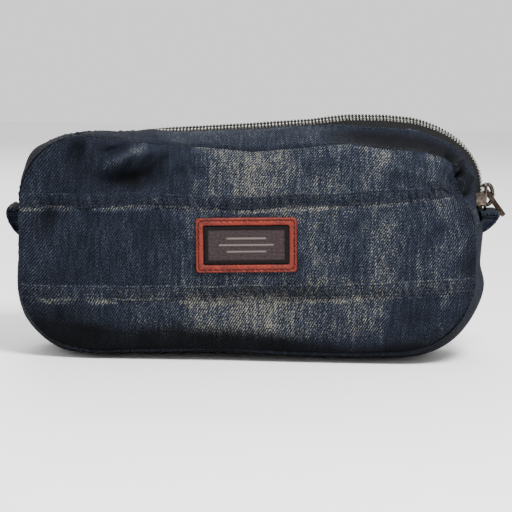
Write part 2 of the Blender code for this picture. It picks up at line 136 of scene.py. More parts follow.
def distances(line):
    """How far along a line each of its points is."""
    return np.concatenate([[0], np.cumsum(np.linalg.norm(np.diff(line, axis=0), axis=1))])


def points_at(at, along, line):
    """Points of a line at some distances along it."""
    return np.stack([np.interp(at, along, column) for column in np.asarray(line).T], -1)


def uneven(x, z, *layers):
    """A sum of noise from (height, cell, seed) layers."""
    return sum(height * noise(x, z, cell, seed) for height, cell, seed in layers)


# ---- The pouch's outline: stations round a rounded rectangle, then pushed in and out ----

STATION_STEP = 1.0


def bearing_of(x, z):
    """Direction from the pouch's middle in degrees: 0 is +X and 90 is up."""
    return np.degrees(np.arctan2(z - MIDDLE_Z, x)) % 360


def profile(*pairs, spread=5):
    """A smooth function of bearing through (bearing, value) pairs."""
    bearings, values = zip(*sorted(pairs))
    found = np.interp(np.arange(720) / 2, bearings, values, period=360)
    kernel = np.hanning(2 * spread + 3)[1:-1]
    padded = np.concatenate([found[-spread:], found, found[:spread]])
    table = np.convolve(padded, kernel / kernel.sum(), "valid")
    return lambda bearing: np.interp(bearing, np.arange(720) / 2, table, period=360)


# How far the pouch's silhouette lies outside the rounded rectangle
crown_offset = profile(
    (0, -1.2), (5, -0.4), (11, 1.0), (17, 2.0), (22.6, 1.6), (29, 0.5), (34, 0.2), (42.5, 1.7),
    (52, 1.5), (65, -1.1), (90, -3.4), (102, -4.3), (118, -5.6), (134, -6.8), (144, -8.8), (151, -5.0),
    (155.5, -2.7), (161, 0.2), (171, 0.8), (178, 0.0), (184, -0.4), (190, 1.0), (195, 3.4),
    (200, 5.2), (206, 5.0), (211, 4.2), (215, 1.6), (220, 0.0), (323, 0.0), (327, 0.8),
    (332, 1.7), (342, 1.4), (350, 1.0), (354, -1.8),
)  # fmt: skip
# How far the seams of the front and back panels lie outside their rounded rectangle
seam_offset = profile(
    (0, 1.0), (6, -0.6), (11, -4.0), (16, -9.4), (20, -8.8), (23.5, -4.8), (26, -3.8), (29, -5.0),
    (38, -4.4), (48, -2.2), (63, -4.2), (90, -6.8), (115, -5.2), (130, -4.6), (138, -3.4), (145, -2.2),
    (152, 1.6), (162, 4.6), (175, 5.2), (188, 5.0), (197, 6.0), (206, 6.2), (215, 4.6), (224, 3.6),
    (270, 3.6), (316, 3.6), (325, 2.6), (334, 1.6), (344, 1.6), (354, 0.8),
)  # fmt: skip
# The back's seam has moved by one share of the front's, and by another of what the silhouette sags
BACK_SHARE = 0.4
BACK_SAG = 0.6
# Depth below the silhouette of the zip gusset's folded edge, and of the zip itself
edge_depth = profile(
    (0, 2.4), (5, 4.6), (11, 6.4), (17, 4.8), (24, 3.6), (34, 4.0), (50, 3.8), (58, 2.8), (66, 2.0),
    (90, 1.8), (108, 1.6), (122, 1.5), (134, 1.4), (142, 0.5), (155, 0.6), (170, 1.4), (180, 1.6),
)  # fmt: skip
zip_depth = profile(
    (0, 2.9), (14, 2.7), (24, 1.4), (36, 0.9), (60, 0.8), (90, 0.8), (110, 0.8), (128, 0.9),
    (134, 1.3), (140, 3.2), (150, 4.0), (160, 3.6), (180, 2.9),
)  # fmt: skip
# How steeply the zip leans towards the front, where the pouch has sagged
zip_lean = profile((0, 0.0), (20, 0.0), (36, 0.30), (126, 0.30), (138, 0.0), (180, 0.0))
# How far the zip gusset sinks between its folded edge and the seam (it puffs up where negative)
gusset_hollow = profile(
    (0, 0.4), (12, 0.6), (20, 0.0), (26, 1.6), (34, 3.4), (46, 3.6), (54, 2.2), (62, 0.5), (72, -0.4),
    (100, -0.3), (118, -0.8), (132, -1.4), (146, -1.2), (158, -0.6), (180, 0.2),
)  # fmt: skip


def outline_runs():
    """The rounded rectangle as runs: a length, and a function from distance to point and normal."""
    low_x, top_x = HALF_WIDTH - BOTTOM_RADIUS, HALF_WIDTH - TOP_RADIUS
    top_z = HEIGHT - TOP_RADIUS

    def straight(start, end, normal):
        span = np.subtract(end, start)
        size = np.hypot(*span)
        return size, lambda d: (np.add(start, np.outer(d / size, span)), np.tile(normal, (len(d), 1)))

    def bend(centre, radius, start):
        def at(d):
            a = radians(start) + d / radius
            normal = np.stack([np.cos(a), np.sin(a)], 1)
            return np.add(centre, radius * normal), normal

        return radius * pi / 2, at

    return [
        straight((0, 0), (low_x, 0), (0, -1)),
        bend((low_x, BOTTOM_RADIUS), BOTTOM_RADIUS, -90),
        straight((HALF_WIDTH, BOTTOM_RADIUS), (HALF_WIDTH, top_z), (1, 0)),
        bend((top_x, top_z), TOP_RADIUS, 0),
        straight((top_x, HEIGHT), (-top_x, HEIGHT), (0, 1)),
        bend((-top_x, top_z), TOP_RADIUS, 90),
        straight((-HALF_WIDTH, top_z), (-HALF_WIDTH, BOTTOM_RADIUS), (-1, 0)),
        bend((-low_x, BOTTOM_RADIUS), BOTTOM_RADIUS, 180),
        straight((-low_x, 0), (0, 0), (0, -1)),
    ]


def base_outline():
    runs = outline_runs()
    total = sum(size for size, _ in runs)
    count = int(total / STATION_STEP)
    distance = np.arange(count) / count * total
    points, normals = np.zeros((count, 2)), np.zeros((count, 2))
    start = 0.0
    for size, at in runs:
        here = (distance >= start) & (distance < start + size)
        points[here], normals[here] = at(distance[here] - start)
        start += size
    return distance, points, normals


def warp_direction(x, z):
    """The smooth outward direction along which the panels' points are pushed in and out."""
    to_side = HALF_WIDTH - SEAM_INSET - np.abs(x)
    to_end = MIDDLE_Z - SEAM_INSET - np.abs(z - MIDDLE_Z)
    out_x = np.sign(x) * np.exp(-to_side / 10)
    out_z = np.sign(z - MIDDLE_Z) * np.exp(-to_end / 10)
    size = np.maximum(np.hypot(out_x, out_z), 1e-6)
    return out_x / size, out_z / size


def inside_seam(x, z):
    """How far a point on a panel lies inside the rounded rectangle of its seam."""
    radius = np.where(z > MIDDLE_Z, TOP_RADIUS, BOTTOM_RADIUS) - SEAM_INSET
    over_x = np.abs(x) - (HALF_WIDTH - SEAM_INSET - radius)
    over_z = np.abs(z - MIDDLE_Z) - (MIDDLE_Z - SEAM_INSET - radius)
    outside = np.hypot(np.maximum(over_x, 0), np.maximum(over_z, 0))
    return radius - outside - np.minimum(np.maximum(over_x, over_z), 0)


def warp(x, z, side):
    """Moves a point of the front (side -1) or back (1) panel as the seam round it has moved."""
    bearing = bearing_of(x, z)
    push = seam_offset(bearing)
    if side > 0:
        push = BACK_SHARE * push + BACK_SAG * np.minimum(crown_offset(bearing), 0)
    push = push * np.exp(-np.maximum(inside_seam(x, z), 0) / 13)
    out_x, out_z = warp_direction(x, z)
    return x + out_x * push, z + out_z * push


DISTANCE, BASE, NORMAL = base_outline()
STATIONS = len(DISTANCE)
BEARING = bearing_of(*BASE.T)
CROWN = BASE + NORMAL * crown_offset(BEARING)[:, None]
CROWN[:, 1] = np.maximum(CROWN[:, 1], 0.0)
SEAMS = {side: np.stack(warp(*(BASE - NORMAL * SEAM_INSET).T, side), 1) for side in (-1, 1)}


def station_near(x, z):
    return int(np.argmin(np.hypot(BASE[:, 0] - x, BASE[:, 1] - z)))


def stations_between(first, last):
    """Station numbers from one point anticlockwise to another."""
    start, end = station_near(*first), station_near(*last)
    return (start + np.arange((end - start) % STATIONS + 1)) % STATIONS


TOP_RIGHT_RUN = stations_between((HALF_WIDTH, CROSS_SEAM_Z), (MOUTH_SPLIT, HEIGHT))
TOP_LEFT_RUN = stations_between((MOUTH_SPLIT, HEIGHT), (-HALF_WIDTH, CROSS_SEAM_Z))
BOTTOM_RUN = stations_between((-HALF_WIDTH, CROSS_SEAM_Z), (HALF_WIDTH, CROSS_SEAM_Z))

# ---- The panels' surfaces ----


def upper_seam_z(x):
    right = np.maximum(x, 0)
    return 75.6 + 0.02 * np.minimum(x, 0) + 0.05 * right + 0.00038 * right**2 + 0.4 * noise(x, 0, 17, 5)


def lower_seam_z(x):
    right = np.maximum(x, 0)
    return 34.0 + 0.018 * np.minimum(x, 0) + 0.035 * right + 0.0001 * right**2 + 0.4 * noise(x, 0, 19, 6)


FELL_HALF = 3.4  # half the height of a felled seam

# Dents and ridges of the front: x, z, half-lengths along and across, turn, and height
FRONT_FORMS = (
    (-81, 95, 10, 4.4, 78, -4.6),
    (-57, 84, 15, 5.4, 3, -6.4),
    (-45, 91, 9, 3.6, 52, -4.0),
    (-60, 94, 10, 2.8, 46, 4.4),
    (-63, 100, 8, 2.4, 46, -3.6),
    (-51, 99, 6, 2.0, 72, 2.4),
    (-70, 88, 7, 4.0, 60, 1.4),
    (-75, 98, 9, 3.0, 80, 1.6),
    (-92, 65, 14, 4.2, 63, -3.4),
    (-99, 74, 10, 4.5, 75, 2.0),
    (-84, 60, 13, 5.0, 60, 1.4),
    (-101, 26, 7, 2.2, -74, 2.8),
    (-96, 25, 8, 2.6, -72, -3.0),
    (-88, 19, 11, 6.5, 10, -3.0),
    (-35, 52, 18, 9.0, 90, 0.8),
    (40, 54, 26, 14.0, 0, 1.2),
    (86, 92, 9, 2.4, 60, 1.4),
    (88, 84, 8, 2.2, -10, -1.6),
    (100, 50, 12, 4.0, 90, -1.8),
    (98, 32, 9, 5.0, 90, 1.4),
    (20, 12, 50, 5.0, 2, -0.8),
    (70, 92, 20, 3.0, -12, 1.2),
    (60, 24, 30, 3.0, 8, 1.0),
    (-30, 22, 26, 3.0, -6, 0.9),
    (-10, 94, 24, 4.0, 4, 0.8),
    (30, 86, 22, 3.0, -8, -0.8),
    (72, 56, 5, 16.0, 4, 0.9),
    (84, 58, 4, 16.0, -4, -0.9),
    (-55, 98, 7, 1.5, 40, 1.8),
    (-66, 92, 7, 1.6, 58, 1.5),
    (-49, 93, 7, 1.5, 58, -1.8),
    (-63, 80, 8, 1.5, -12, 1.2),
    (-50, 79, 9, 1.5, 14, 1.3),
    (-76, 88, 9, 1.5, 70, -1.2),
    (-86, 92, 8, 1.6, 84, 1.1),
)


def seam_puckers(x, z, seam_z, seed):
    """Small upright ripples where a felled seam has drawn the cloth up."""
    wander = 2.4 * noise(x, 0, 9, seed)
    ripple = np.sin((x + wander + 0.35 * (z - seam_z)) * 2 * pi / 4.6)
    return ripple * (0.55 + 0.45 * noise(x, 0, 13, seed + 1)) * bell(z, seam_z, 5.4)


def front_forms(x, z):
    """The front's dents and ridges, without its fine unevenness."""
    return sum(h * hill(x, z, px, pz, a, b, t) for px, pz, a, b, t, h in FRONT_FORMS)


def front_relief(x, z):
    found = front_forms(x, z)
    rough = uneven(x, z, (0.70, 16, 11), (0.42, 7.5, 12), (0.17, 3.4, 13))
    quiet = 1 - 0.85 * hill(x, z, -3, 54, 32, 17, 0) ** 0.5
    puckers = seam_puckers(x, z, upper_seam_z(x), 21) + seam_puckers(x, z, lower_seam_z(x), 31)
    return found + rough * quiet + 0.46 * puckers


def back_relief(x, z):
    rough = uneven(x, z, (0.6, 22, 41), (0.3, 8, 42), (0.12, 3.5, 43))
    folds = 1.6 * hill(x, z, -60, 84, 30, 4, 35) - 1.8 * hill(x, z, -54, 78, 30, 5, 35)
    folds += 1.4 * hill(x, z, 66, 30, 26, 4, -30) - 1.4 * hill(x, z, 60, 24, 24, 5, -30)
    folds += 1.2 * hill(x, z, 76, 88, 18, 4, -48) - 1.0 * hill(x, z, -84, 28, 18, 4, 52)
    return rough + folds


def panel_face(x, z, side):
    """How far a panel's outer face stands from the pouch's middle plane."""
    inside = np.maximum(inside_seam(x, z), 0)
    full = (FRONT_FACE if side < 0 else BACK_FACE) - SEAM_Y - 0.4
    swell = 0.66 * (1 - np.exp(-inside / 4.5)) + 0.34 * smooth(0, 42, inside)
    relief = front_relief(x, z) if side < 0 else back_relief(x, z)
    tuck = 1.8 * smooth(22, 6, z) ** 2
    return SEAM_Y + 0.4 + full * swell - tuck + relief * smooth(0.3, 9.0, inside)


def seam_half_width(z):
    """Half the width of a panel at a height, out to its seam."""
    top, low = TOP_RADIUS - SEAM_INSET, BOTTOM_RADIUS - SEAM_INSET
    above = np.clip((z - (HEIGHT - TOP_RADIUS)) / top, 0, 1)
    below = np.clip((BOTTOM_RADIUS - z) / low, 0, 1)
    narrow = top * (1 - np.sqrt(1 - above**2)) + low * (1 - np.sqrt(1 - below**2))
    return HALF_WIDTH - SEAM_INSET - narrow


def panel_rows(low, high, step):
    """Heights from low to high, evenly spaced along the panel's side."""
    z = np.linspace(low, high, 4000)
    along = distances(np.stack([z, seam_half_width(z)], 1))
    return np.interp(np.linspace(0, along[-1], int(along[-1] / step) + 2), along, z)


def panel_grid(low, high, step):
    """x and z of a grid that fills the seam's rounded rectangle between two heights."""
    z = panel_rows(low, high, step)[:, None]
    across = np.linspace(-1, 1, int(2 * HALF_WIDTH / step))[None, :]
    return across * seam_half_width(z), np.broadcast_to(z, (z.shape[0], across.shape[1]))


def strip_grid(low_z, high_z, step, rows):
    """The same between two heights that change with x."""
    half = seam_half_width(high_z(np.zeros(1)))[0]
    x = np.linspace(-half, half, int(2 * half / step))
    share = np.linspace(0, 1, rows)[:, None]
    return np.broadcast_to(x, (rows, len(x))), low_z(x) * (1 - share) + high_z(x) * share


# ---- Wear and painted shade: how faded and how dark the denim is at each point ----


# How faded each strip of the front is from left to right: x, fade
UPPER_FADE = (
    (-100, 0.23), (-70, 0.17), (-40, 0.26), (-27, 0.32), (-19, 0.75), (-4, 0.77), (14, 0.74), (21, 0.63),
    (34, 0.58), (45, 0.56), (51, 0.71), (60, 0.69), (66, 0.46), (74, 0.46), (80, 0.56), (88, 0.48),
    (98, 0.34),
)  # fmt: skip
MIDDLE_FADE = (
    (-104, 0.32), (-95, 0.30), (-88, 0.20), (-66, 0.24), (-45, 0.23), (-34, 0.42), (-24, 0.46), (20, 0.62),
    (42, 0.64), (49, 0.52), (55, 0.61), (64, 0.58), (72, 0.39), (80, 0.42), (86, 0.42), (94, 0.38),
    (104, 0.30),
)  # fmt: skip
LOWER_FADE = (
    (-100, 0.25), (-64, 0.27), (-46, 0.38), (-32, 0.44), (-22, 0.87), (0, 0.94), (18, 0.90), (26, 0.64),
    (45, 0.62), (52, 0.66), (60, 0.62), (67, 0.34), (80, 0.22), (98, 0.18),
)  # fmt: skip


def front_fade(x, z):
    """0 where the front is still dark indigo, 1 where it has worn to its pale weft."""
    wander = x + uneven(x, z, (3.5, 13, 51), (1.6, 5, 56))
    strips = (UPPER_FADE, MIDDLE_FADE, LOWER_FADE)
    upper, middle, lower = (np.interp(wander, *zip(*stops)) for stops in strips)
    lower = 0.30 + (lower - 0.30) * smooth(10, 19, z)
    above = smooth(-2, 2, z - upper_seam_z(x))
    below = smooth(2, -2, z - lower_seam_z(x))
    fade = upper * above + lower * below + middle * (1 - above - below)
    streaks = 0.11 * noise(x, z / 9, 1.5, 57) + 0.08 * noise(x, z / 7, 3.5, 58)
    blotch = uneven(x, z, (0.13, 12, 52), (0.10, 5, 53))
    rubbed = 0.09 * np.clip(front_forms(x, z), 0, 4) * smooth(-40, -50, x)
    return fade + rubbed + (blotch + streaks) * (0.7 + 0.3 * smooth(-80, -30, x))


def fell_wear(x, z, seam_z, seed):
    """The bright line worn along the lower edge of a felled seam, and the fainter upper one."""
    patchy = np.clip(0.55 + uneven(x, 0, (0.55, 11, seed), (0.25, 1.9, seed + 1)), 0, 1)
    faint = 1 - 0.45 * smooth(0, 60, x)
    lower = bell(z, seam_z - FELL_HALF - 0.45, 1.0) * faint
    return patchy * (0.95 * lower + 0.16 * bell(z, seam_z + FELL_HALF - 0.3, 0.6))


def front_shade_and_tone(x, z):
    """How much of its colour a point of the front loses to painted shade, with some darker tone."""
    # Painted shade: darker towards the base, where the front turns under.
    shade_line = 19.5 - 7.5 * smooth(-80, 80, x) + 1.5 * noise(x, 0, 12, 59)
    dark = 0.88 * smooth(shade_line + 3, shade_line - 4, z)
    mottled = 1 + uneven(x, z, (0.35, 6, 62), (0.25, 2.2, 63))
    # Painted shade in the dents and in the deep hollow at the upper left.
    dark += 0.10 * np.clip(-front_forms(x, z) - 0.6, 0, 6) * mottled + 0.24 * hill(x, z, -58, 86, 18, 9, 3)
    # Painted shade in the lower-left corner and along the diagonal valley at the left.
    dark += 0.50 * hill(x, z, -88, 20, 12, 8, 10) + 0.25 * hill(x, z, -93, 64, 13, 4, 63)
    # Painted light: the ridges are lifted out of the shade.
    dark -= 0.30 * np.clip(front_forms(x, z) - 0.8, 0, 2)
    # Darker towards the right edge, the lower-right corner and beside the felled seams over the middle.
    dark += 0.30 * smooth(92, 100, x) + 0.5 * smooth(70, 84, x) * smooth(22, 14, z)
    dark += 0.45 * bell(z, lower_seam_z(x), 4.5) * smooth(-36, -20, x) * smooth(60, 30, x)
    dark += 0.40 * bell(z, upper_seam_z(x), 4.5) * smooth(-20, 0, x) * smooth(40, 20, x)
    return np.clip(dark + 0.12 * noise(x, z, 8, 60), 0, 0.93)


# ---- Meshes ----


def new_object(name, mesh, look):
    mesh.materials.append(look)
    mesh.shade_smooth()
    mesh.set_sharp_from_angle(angle=radians(50))
    made = bpy.data.objects.new(name, mesh)
    bpy.context.scene.collection.objects.link(made)
    return made


def deepened(plane, y):
    """Points from a grid of (x, z) and their y."""
    return np.stack([plane[..., 0], np.broadcast_to(y, plane.shape[:2]), plane[..., 1]], 2)


def grid_faces(rows, cols, first=0, flip=False):
    i, j = np.meshgrid(np.arange(rows - 1), np.arange(cols - 1), indexing="ij")
    a = (first + i * cols + j).ravel()
    quads = np.stack([a, a + 1, a + cols + 1, a + cols], 1)
    return quads[:, ::-1] if flip else quads


def normals_of(grid):
    along, across = np.gradient(grid, axis=1), np.gradient(grid, axis=0)
    normal = np.cross(along, across)
    return normal / np.maximum(np.linalg.norm(normal, axis=2, keepdims=True), 1e-9)


def fix_outward(mesh):
    shape = bmesh.new()
    shape.from_mesh(mesh)
    bmesh.ops.recalc_face_normals(shape, faces=shape.faces)
    shape.to_mesh(mesh)
    shape.free()


def add_values(mesh, **values):
    """Stores a number, or three numbers, at each vertex under the name that the materials read."""
    for name, value in values.items():
        kind, field = ("FLOAT_VECTOR", "vector") if value.ndim == 2 else ("FLOAT", "value")
        attribute = mesh.attributes.new(name, kind, "POINT")
        attribute.data.foreach_set(field, np.ascontiguousarray(value, np.float32).ravel())


def sheet_between(name, outer, inner, look, cloth, fade=0.2, dark=0.0):
    """A closed sheet of cloth between two grids of points, given in millimetres.

    cloth is the pair of distances along the cloth's own threads, which the weave follows.
    """
    rows, cols = outer.shape[:2]
    count = rows * cols
    points = np.concatenate([outer.reshape(-1, 3), inner.reshape(-1, 3)]) * MM
    index = np.arange(count).reshape(rows, cols)
    rim = np.concatenate([index[0, :], index[1:, -1], index[-1, -2::-1], index[-2::-1, 0]])
    edge = np.stack([rim[1:], rim[:-1], rim[:-1] + count, rim[1:] + count], 1)
    faces = np.concatenate([grid_faces(rows, cols), grid_faces(rows, cols, count, flip=True), edge])
    mesh = bpy.data.meshes.new(name)
    mesh.from_pydata(points.tolist(), [], faces.tolist())
    fix_outward(mesh)
    u, v = (np.broadcast_to(c, (rows, cols)).ravel() * MM for c in cloth)
    fade, dark = (np.tile(np.broadcast_to(value, (rows, cols)).ravel(), 2) for value in (fade, dark))
    add_values(mesh, cloth=np.tile(np.stack([u, v, 0 * u], 1), (2, 1)), fade=fade, dark=dark)
    return new_object(name, mesh, look)


def sheet(name, outer, thickness, look, cloth, fade=0.2, dark=0.0):
    """A closed sheet of one thickness from the points of its outer face."""
    normal = normals_of(outer)
    if (normal * (outer - CENTRE)).sum() < 0:
        normal = -normal
    return sheet_between(name, outer, outer - normal * thickness, look, cloth, fade, dark)


def skin(rings, sides, closed=False):
    """Faces between rings of points. A closed skin meets itself, and an open one has a cap at each end."""
    faces = []
    for ring in range(rings if closed else rings - 1):
        first, second = ring * sides, (ring + 1) % rings * sides
        for i in range(sides):
            j = (i + 1) % sides
            faces.append((first + i, first + j, second + j, second + i))
    if not closed:
        faces.append(tuple(range(sides))[::-1])
        faces.append(tuple((rings - 1) * sides + i for i in range(sides)))
    return faces


def tube(points, radius, sides=6, flat=1.0, up=(0, 0, 1)):
    """Points and faces of a closed tube along a line, in millimetres; flat squashes it along up."""
    line = np.asarray(points, float)
    ahead = np.gradient(line, axis=0)
    ahead /= np.maximum(np.linalg.norm(ahead, axis=1, keepdims=True), 1e-9)
    up = np.broadcast_to(np.asarray(up, float), line.shape)
    across = np.cross(ahead, up)
    across /= np.maximum(np.linalg.norm(across, axis=1, keepdims=True), 1e-9)
    lift = np.cross(across, ahead)
    turn = np.arange(sides) * 2 * pi / sides
    taper = np.ones(len(line))
    taper[[0, -1]] = 0.45
    radii = (radius * taper)[:, None, None]
    ring = across[:, None] * np.cos(turn)[None, :, None] + lift[:, None] * np.sin(turn)[None, :, None] * flat
    return (line[:, None] + ring * radii).reshape(-1, 3), skin(len(line), sides)


def joined(name, parts, look):
    """One object from several (points, faces) parts, given in millimetres."""
    points, faces, first = [], [], 0
    for part_points, part_faces in parts:
        points.append(np.asarray(part_points, float))
        faces.extend(tuple(first + i for i in face) for face in part_faces)
        first += len(part_points)
    mesh = bpy.data.meshes.new(name)
    mesh.from_pydata((np.concatenate(points) * MM).tolist(), [], faces)
    fix_outward(mesh)
    return new_object(name, mesh, look)


def stitches(name, line, normal, look, length=2.6, gap=0.8, radius=0.22, end_dip=0.25):
    """Separate stitches laid along a line; normal is the cloth's outward direction at each point."""
    line, normal = np.asarray(line, float), np.asarray(normal, float)
    along = distances(line)
    rise = np.array([-end_dip, 0.08, 0.14, 0.08, -end_dip])[:, None]
    parts = []
    for start in np.arange(0.3, along[-1] - length, length + gap):
        at = np.linspace(start, start + length, len(rise))
        out = points_at(at, along, normal)
        parts.append(tube(points_at(at, along, line) + out * rise, radius, up=out))
    return joined(name, parts, look)


# ---- Materials ----


class Shade:
    """A material's node tree, written as a formula."""

    def __init__(self, name, roughness=0.8, **fixed):
        self.material = bpy.data.materials.new(name)
        self.material.use_nodes = True
        self.nodes = self.material.node_tree.nodes
        self.links = self.material.node_tree.links
        self.shader = self.nodes["Principled BSDF"]
        self.shader.inputs["Roughness"].default_value = roughness
        for socket, value in fixed.items():
            self.shader.inputs[socket.replace("_", " ")].default_value = value
        self.heights = []

    def put(self, socket, value):
        if isinstance(value, bpy.types.NodeSocket):
            self.links.new(value, socket)
        else:
            socket.default_value = value

    def node(self, kind, output, *inputs, **settings):
        """Adds a node, with its settings and its (socket, value) inputs, and gives one of its outputs."""
        node = self.nodes.new("ShaderNode" + kind)
        for setting, value in settings.items():
            setattr(node, setting, value)
        for socket, value in inputs:
            self.put(node.inputs[socket], value)
        return node.outputs[output]

    def value(self, name):
        return self.node("Attribute", "Fac", attribute_name=name)

    def cloth(self):
        return self.node("Attribute", "Vector", attribute_name="cloth")

    def own(self):
        return self.node("TexCoord", "Object")

    def axis(self, vector, letter):
        return self.node("SeparateXYZ", letter, (0, vector))

    def math(self, kind, a, b=0.0):
        return self.node("Math", 0, (0, a), (1, b), operation=kind)

    def add(self, a, b):
        return self.math("ADD", a, b)

    def times(self, a, b):
        return self.math("MULTIPLY", a, b)

    def total(self, *terms):
        """The sum of (value, weight) pairs."""
        found = self.times(*terms[0])
        for term in terms[1:]:
            found = self.add(found, self.times(*term))
        return found

    def span(self, value, low, high, to_low=0.0, to_high=1.0):
        ends = (("From Min", low), ("From Max", high), ("To Min", to_low), ("To Max", to_high))
        return self.node("MapRange", 0, ("Value", value), *ends)

    def noise(self, vector, size, detail=2.0, stretch=(1, 1, 1)):
        """Noise with features of a size in metres, longer along an axis with a small stretch."""
        scaled = self.node("Mapping", 0, ("Vector", vector), ("Scale", [s / size for s in stretch]))
        return self.node("TexNoise", "Fac", ("Scale", 1.0), ("Detail", detail), ("Vector", scaled))

    def cells(self, vector, size):
        return self.node("TexVoronoi", "Distance", ("Vector", vector), ("Scale", 1 / size))

    def stripe(self, vector, pitch, angle=0.0, shift=0.0):
        """Stripes from 0 to 1, a pitch apart in metres, that climb at an angle from +X."""
        turns_x, turns_y = (t * 2 * pi / pitch for t in (sin(radians(angle)), -cos(radians(angle))))
        across = self.total((self.axis(vector, "X"), turns_x), (self.axis(vector, "Y"), turns_y))
        return self.span(self.math("SINE", self.add(across, shift)), -1, 1)

    def plain_weave(self, vector, weft_pitch, warp_pitch):
        return self.times(self.stripe(vector, weft_pitch, 0), self.stripe(vector, warp_pitch, 90))

    def ramp(self, value, *stops):
        node = self.nodes.new("ShaderNodeValToRGB")
        band = node.color_ramp
        while len(band.elements) < len(stops):
            band.elements.new(0.5)
        for element, (position, colour) in zip(band.elements, stops):
            element.position = position
            element.color = (*colour, 1)
        self.put(node.inputs[0], value)
        return node.outputs[0]

    def mix(self, share, a, b):
        colours = ((*value, 1) if isinstance(value, tuple) else value for value in (a, b))
        return self.node("Mix", 2, (0, share), *zip((6, 7), colours), data_type="RGBA")

    def bump(self, height, depth):
        """Adds a bump of a depth in metres."""
        self.heights.append((height, depth))

    def done(self, colour, roughness=None):
        self.put(self.shader.inputs["Base Color"], colour)
        if roughness is not None:
            self.put(self.shader.inputs["Roughness"], roughness)
        normal = ()
        for height, depth in self.heights:
            bumped = self.node("Bump", 0, ("Strength", 1.0), ("Distance", depth), ("Height", height), *normal)
            normal = (("Normal", bumped),)
        for socket, value in normal:
            self.put(self.shader.inputs[socket], value)
        return self.material


INDIGO_BLACK = (0.0026, 0.0029, 0.0040)
INDIGO = (0.0068, 0.0090, 0.0160)
WORN_BLUE = (0.0235, 0.0285, 0.0400)
WEFT = (0.168, 0.158, 0.118)
# Near-black that the dark value mixes in: painted shade in hollows, creases and at the base, with some darker
# tone.
SHADE_BLACK = (0.0012, 0.0012, 0.0016)


def denim():
    """Right-hand twill: dark warp over pale weft, which shows more where the cloth is worn and where painted
    light is added; the dark value mixes in painted shade.
    """
    s = Shade("denim", 0.9, Specular_IOR_Level=0.06)
    cloth = s.cloth()
    fade, dark = s.value("fade"), s.value("dark")
    slub = s.noise(cloth, 0.0035, 2, (2.6, 0.4, 1))
    drift = s.times(s.noise(cloth, 0.003, 2), 6.0)
    wale = s.stripe(cloth, 0.00098, 57, drift)
    specks = s.noise(cloth, 0.00062, 3, (1.0, 0.8, 1))
    threads = s.noise(cloth, 0.0009, 2, (1.6, 0.22, 1))
    crossing = s.noise(cloth, 0.0010, 2, (0.3, 1.8, 1))
    pattern = s.total(
        (wale, 0.46),
        (s.span(specks, 0.32, 0.68), 0.62),
        (s.span(threads, 0.3, 0.7), 0.18),
        (s.span(crossing, 0.3, 0.7), 0.16),
        (s.span(slub, 0.3, 0.7, -0.15, 0.15), 1.0),
    )
    contrast = s.span(fade, 0.0, 0.9, 0.50, 1.15)
    level = s.add(s.span(fade, 0.0, 1.0, 0.16, 0.70), s.times(s.add(pattern, -0.78), contrast))
    colour = s.ramp(level, (0.0, INDIGO_BLACK), (0.30, INDIGO), (0.62, WORN_BLUE), (1.0, WEFT))
    # The dark value mixes in painted shade, with some darker tone.
    colour = s.mix(dark, colour, SHADE_BLACK)
    s.bump(s.noise(cloth, 0.006, 3), 0.0006)
    s.bump(wale, 0.00016)
    s.bump(specks, 0.00030)
    return s.done(colour, s.span(specks, 0.3, 0.7, 0.92, 0.78))


def lining_cloth():
    s = Shade("lining_cloth", 0.85, Specular_IOR_Level=0.2)
    cloth = s.cloth()
    weave = s.plain_weave(cloth, 0.0007, 0.0007)
    value = s.total((weave, 0.5), (s.noise(cloth, 0.009, 3), 0.6))
    s.bump(s.noise(cloth, 0.012, 3), 0.0008)
    s.bump(weave, 0.00012)
    return s.done(s.ramp(value, (0.2, (0.012, 0.012, 0.015)), (0.9, (0.040, 0.040, 0.046))))


def tape_cloth():
    """Herringbone tape, woven in chevrons along the zip."""
    s = Shade("tape_cloth", 0.85, Specular_IOR_Level=0.15)
    cloth = s.cloth()
    up, down = s.stripe(cloth, 0.0009, 50), s.stripe(cloth, 0.0009, -50)
    side = s.math("GREATER_THAN", s.math("SINE", s.times(s.axis(cloth, "Y"), 2200.0)), 0.0)
    chevron = s.total((up, side), (down, s.math("SUBTRACT", 1.0, side)))
    value = s.total((chevron, 0.55), (s.noise(cloth, 0.003, 3), 0.5))
    s.bump(chevron, 0.00014)
    return s.done(s.ramp(value, (0.15, (0.0016, 0.0016, 0.0020)), (0.95, (0.0085, 0.0085, 0.0090))))


def binding_cloth():
    s = Shade("binding_cloth", 0.8)
    cloth = s.cloth()
    rib = s.stripe(cloth, 0.0008, 90)
    s.bump(rib, 0.00015)
    value = s.total((rib, 0.4), (s.noise(cloth, 0.004, 3), 0.6))
    return s.done(s.ramp(value, (0.2, (0.005, 0.005, 0.006)), (0.9, (0.020, 0.020, 0.023))))


def thread(name, low, high):
    """Twisted sewing thread."""
    s = Shade(name, 0.75, Specular_IOR_Level=0.15)
    own = s.own()
    twist = s.stripe(own, 0.0006, 35)
    value = s.total((twist, 0.5), (s.noise(own, 0.003, 2), 0.6))
    s.bump(twist, 0.0001)
    return s.done(s.ramp(value, (0.25, low), (0.85, high)))


def metal(name, low, high, roughness):
    """Plated metal with scuffs, rubbed brighter in patches, and darker where a vertex value paints shade on
    it.
    """
    s = Shade(name, roughness, Metallic=1.0)
    own = s.own()
    scuffs = s.noise(own, 0.0012, 4)
    scratches = s.noise(own, 0.0007, 3, (0.2, 1.0, 2.4))
    value = s.times(s.add(scuffs, scratches), 0.5)
    s.bump(scuffs, 0.00006)
    s.bump(scratches, 0.00004)
    rough = s.span(value, 0.3, 0.7, roughness + 0.12, roughness - 0.08)
    colour = s.ramp(value, (0.36, low), (0.62, high))
    return s.done(s.mix(s.value("grime"), colour, (0.006, 0.006, 0.005)), rough)


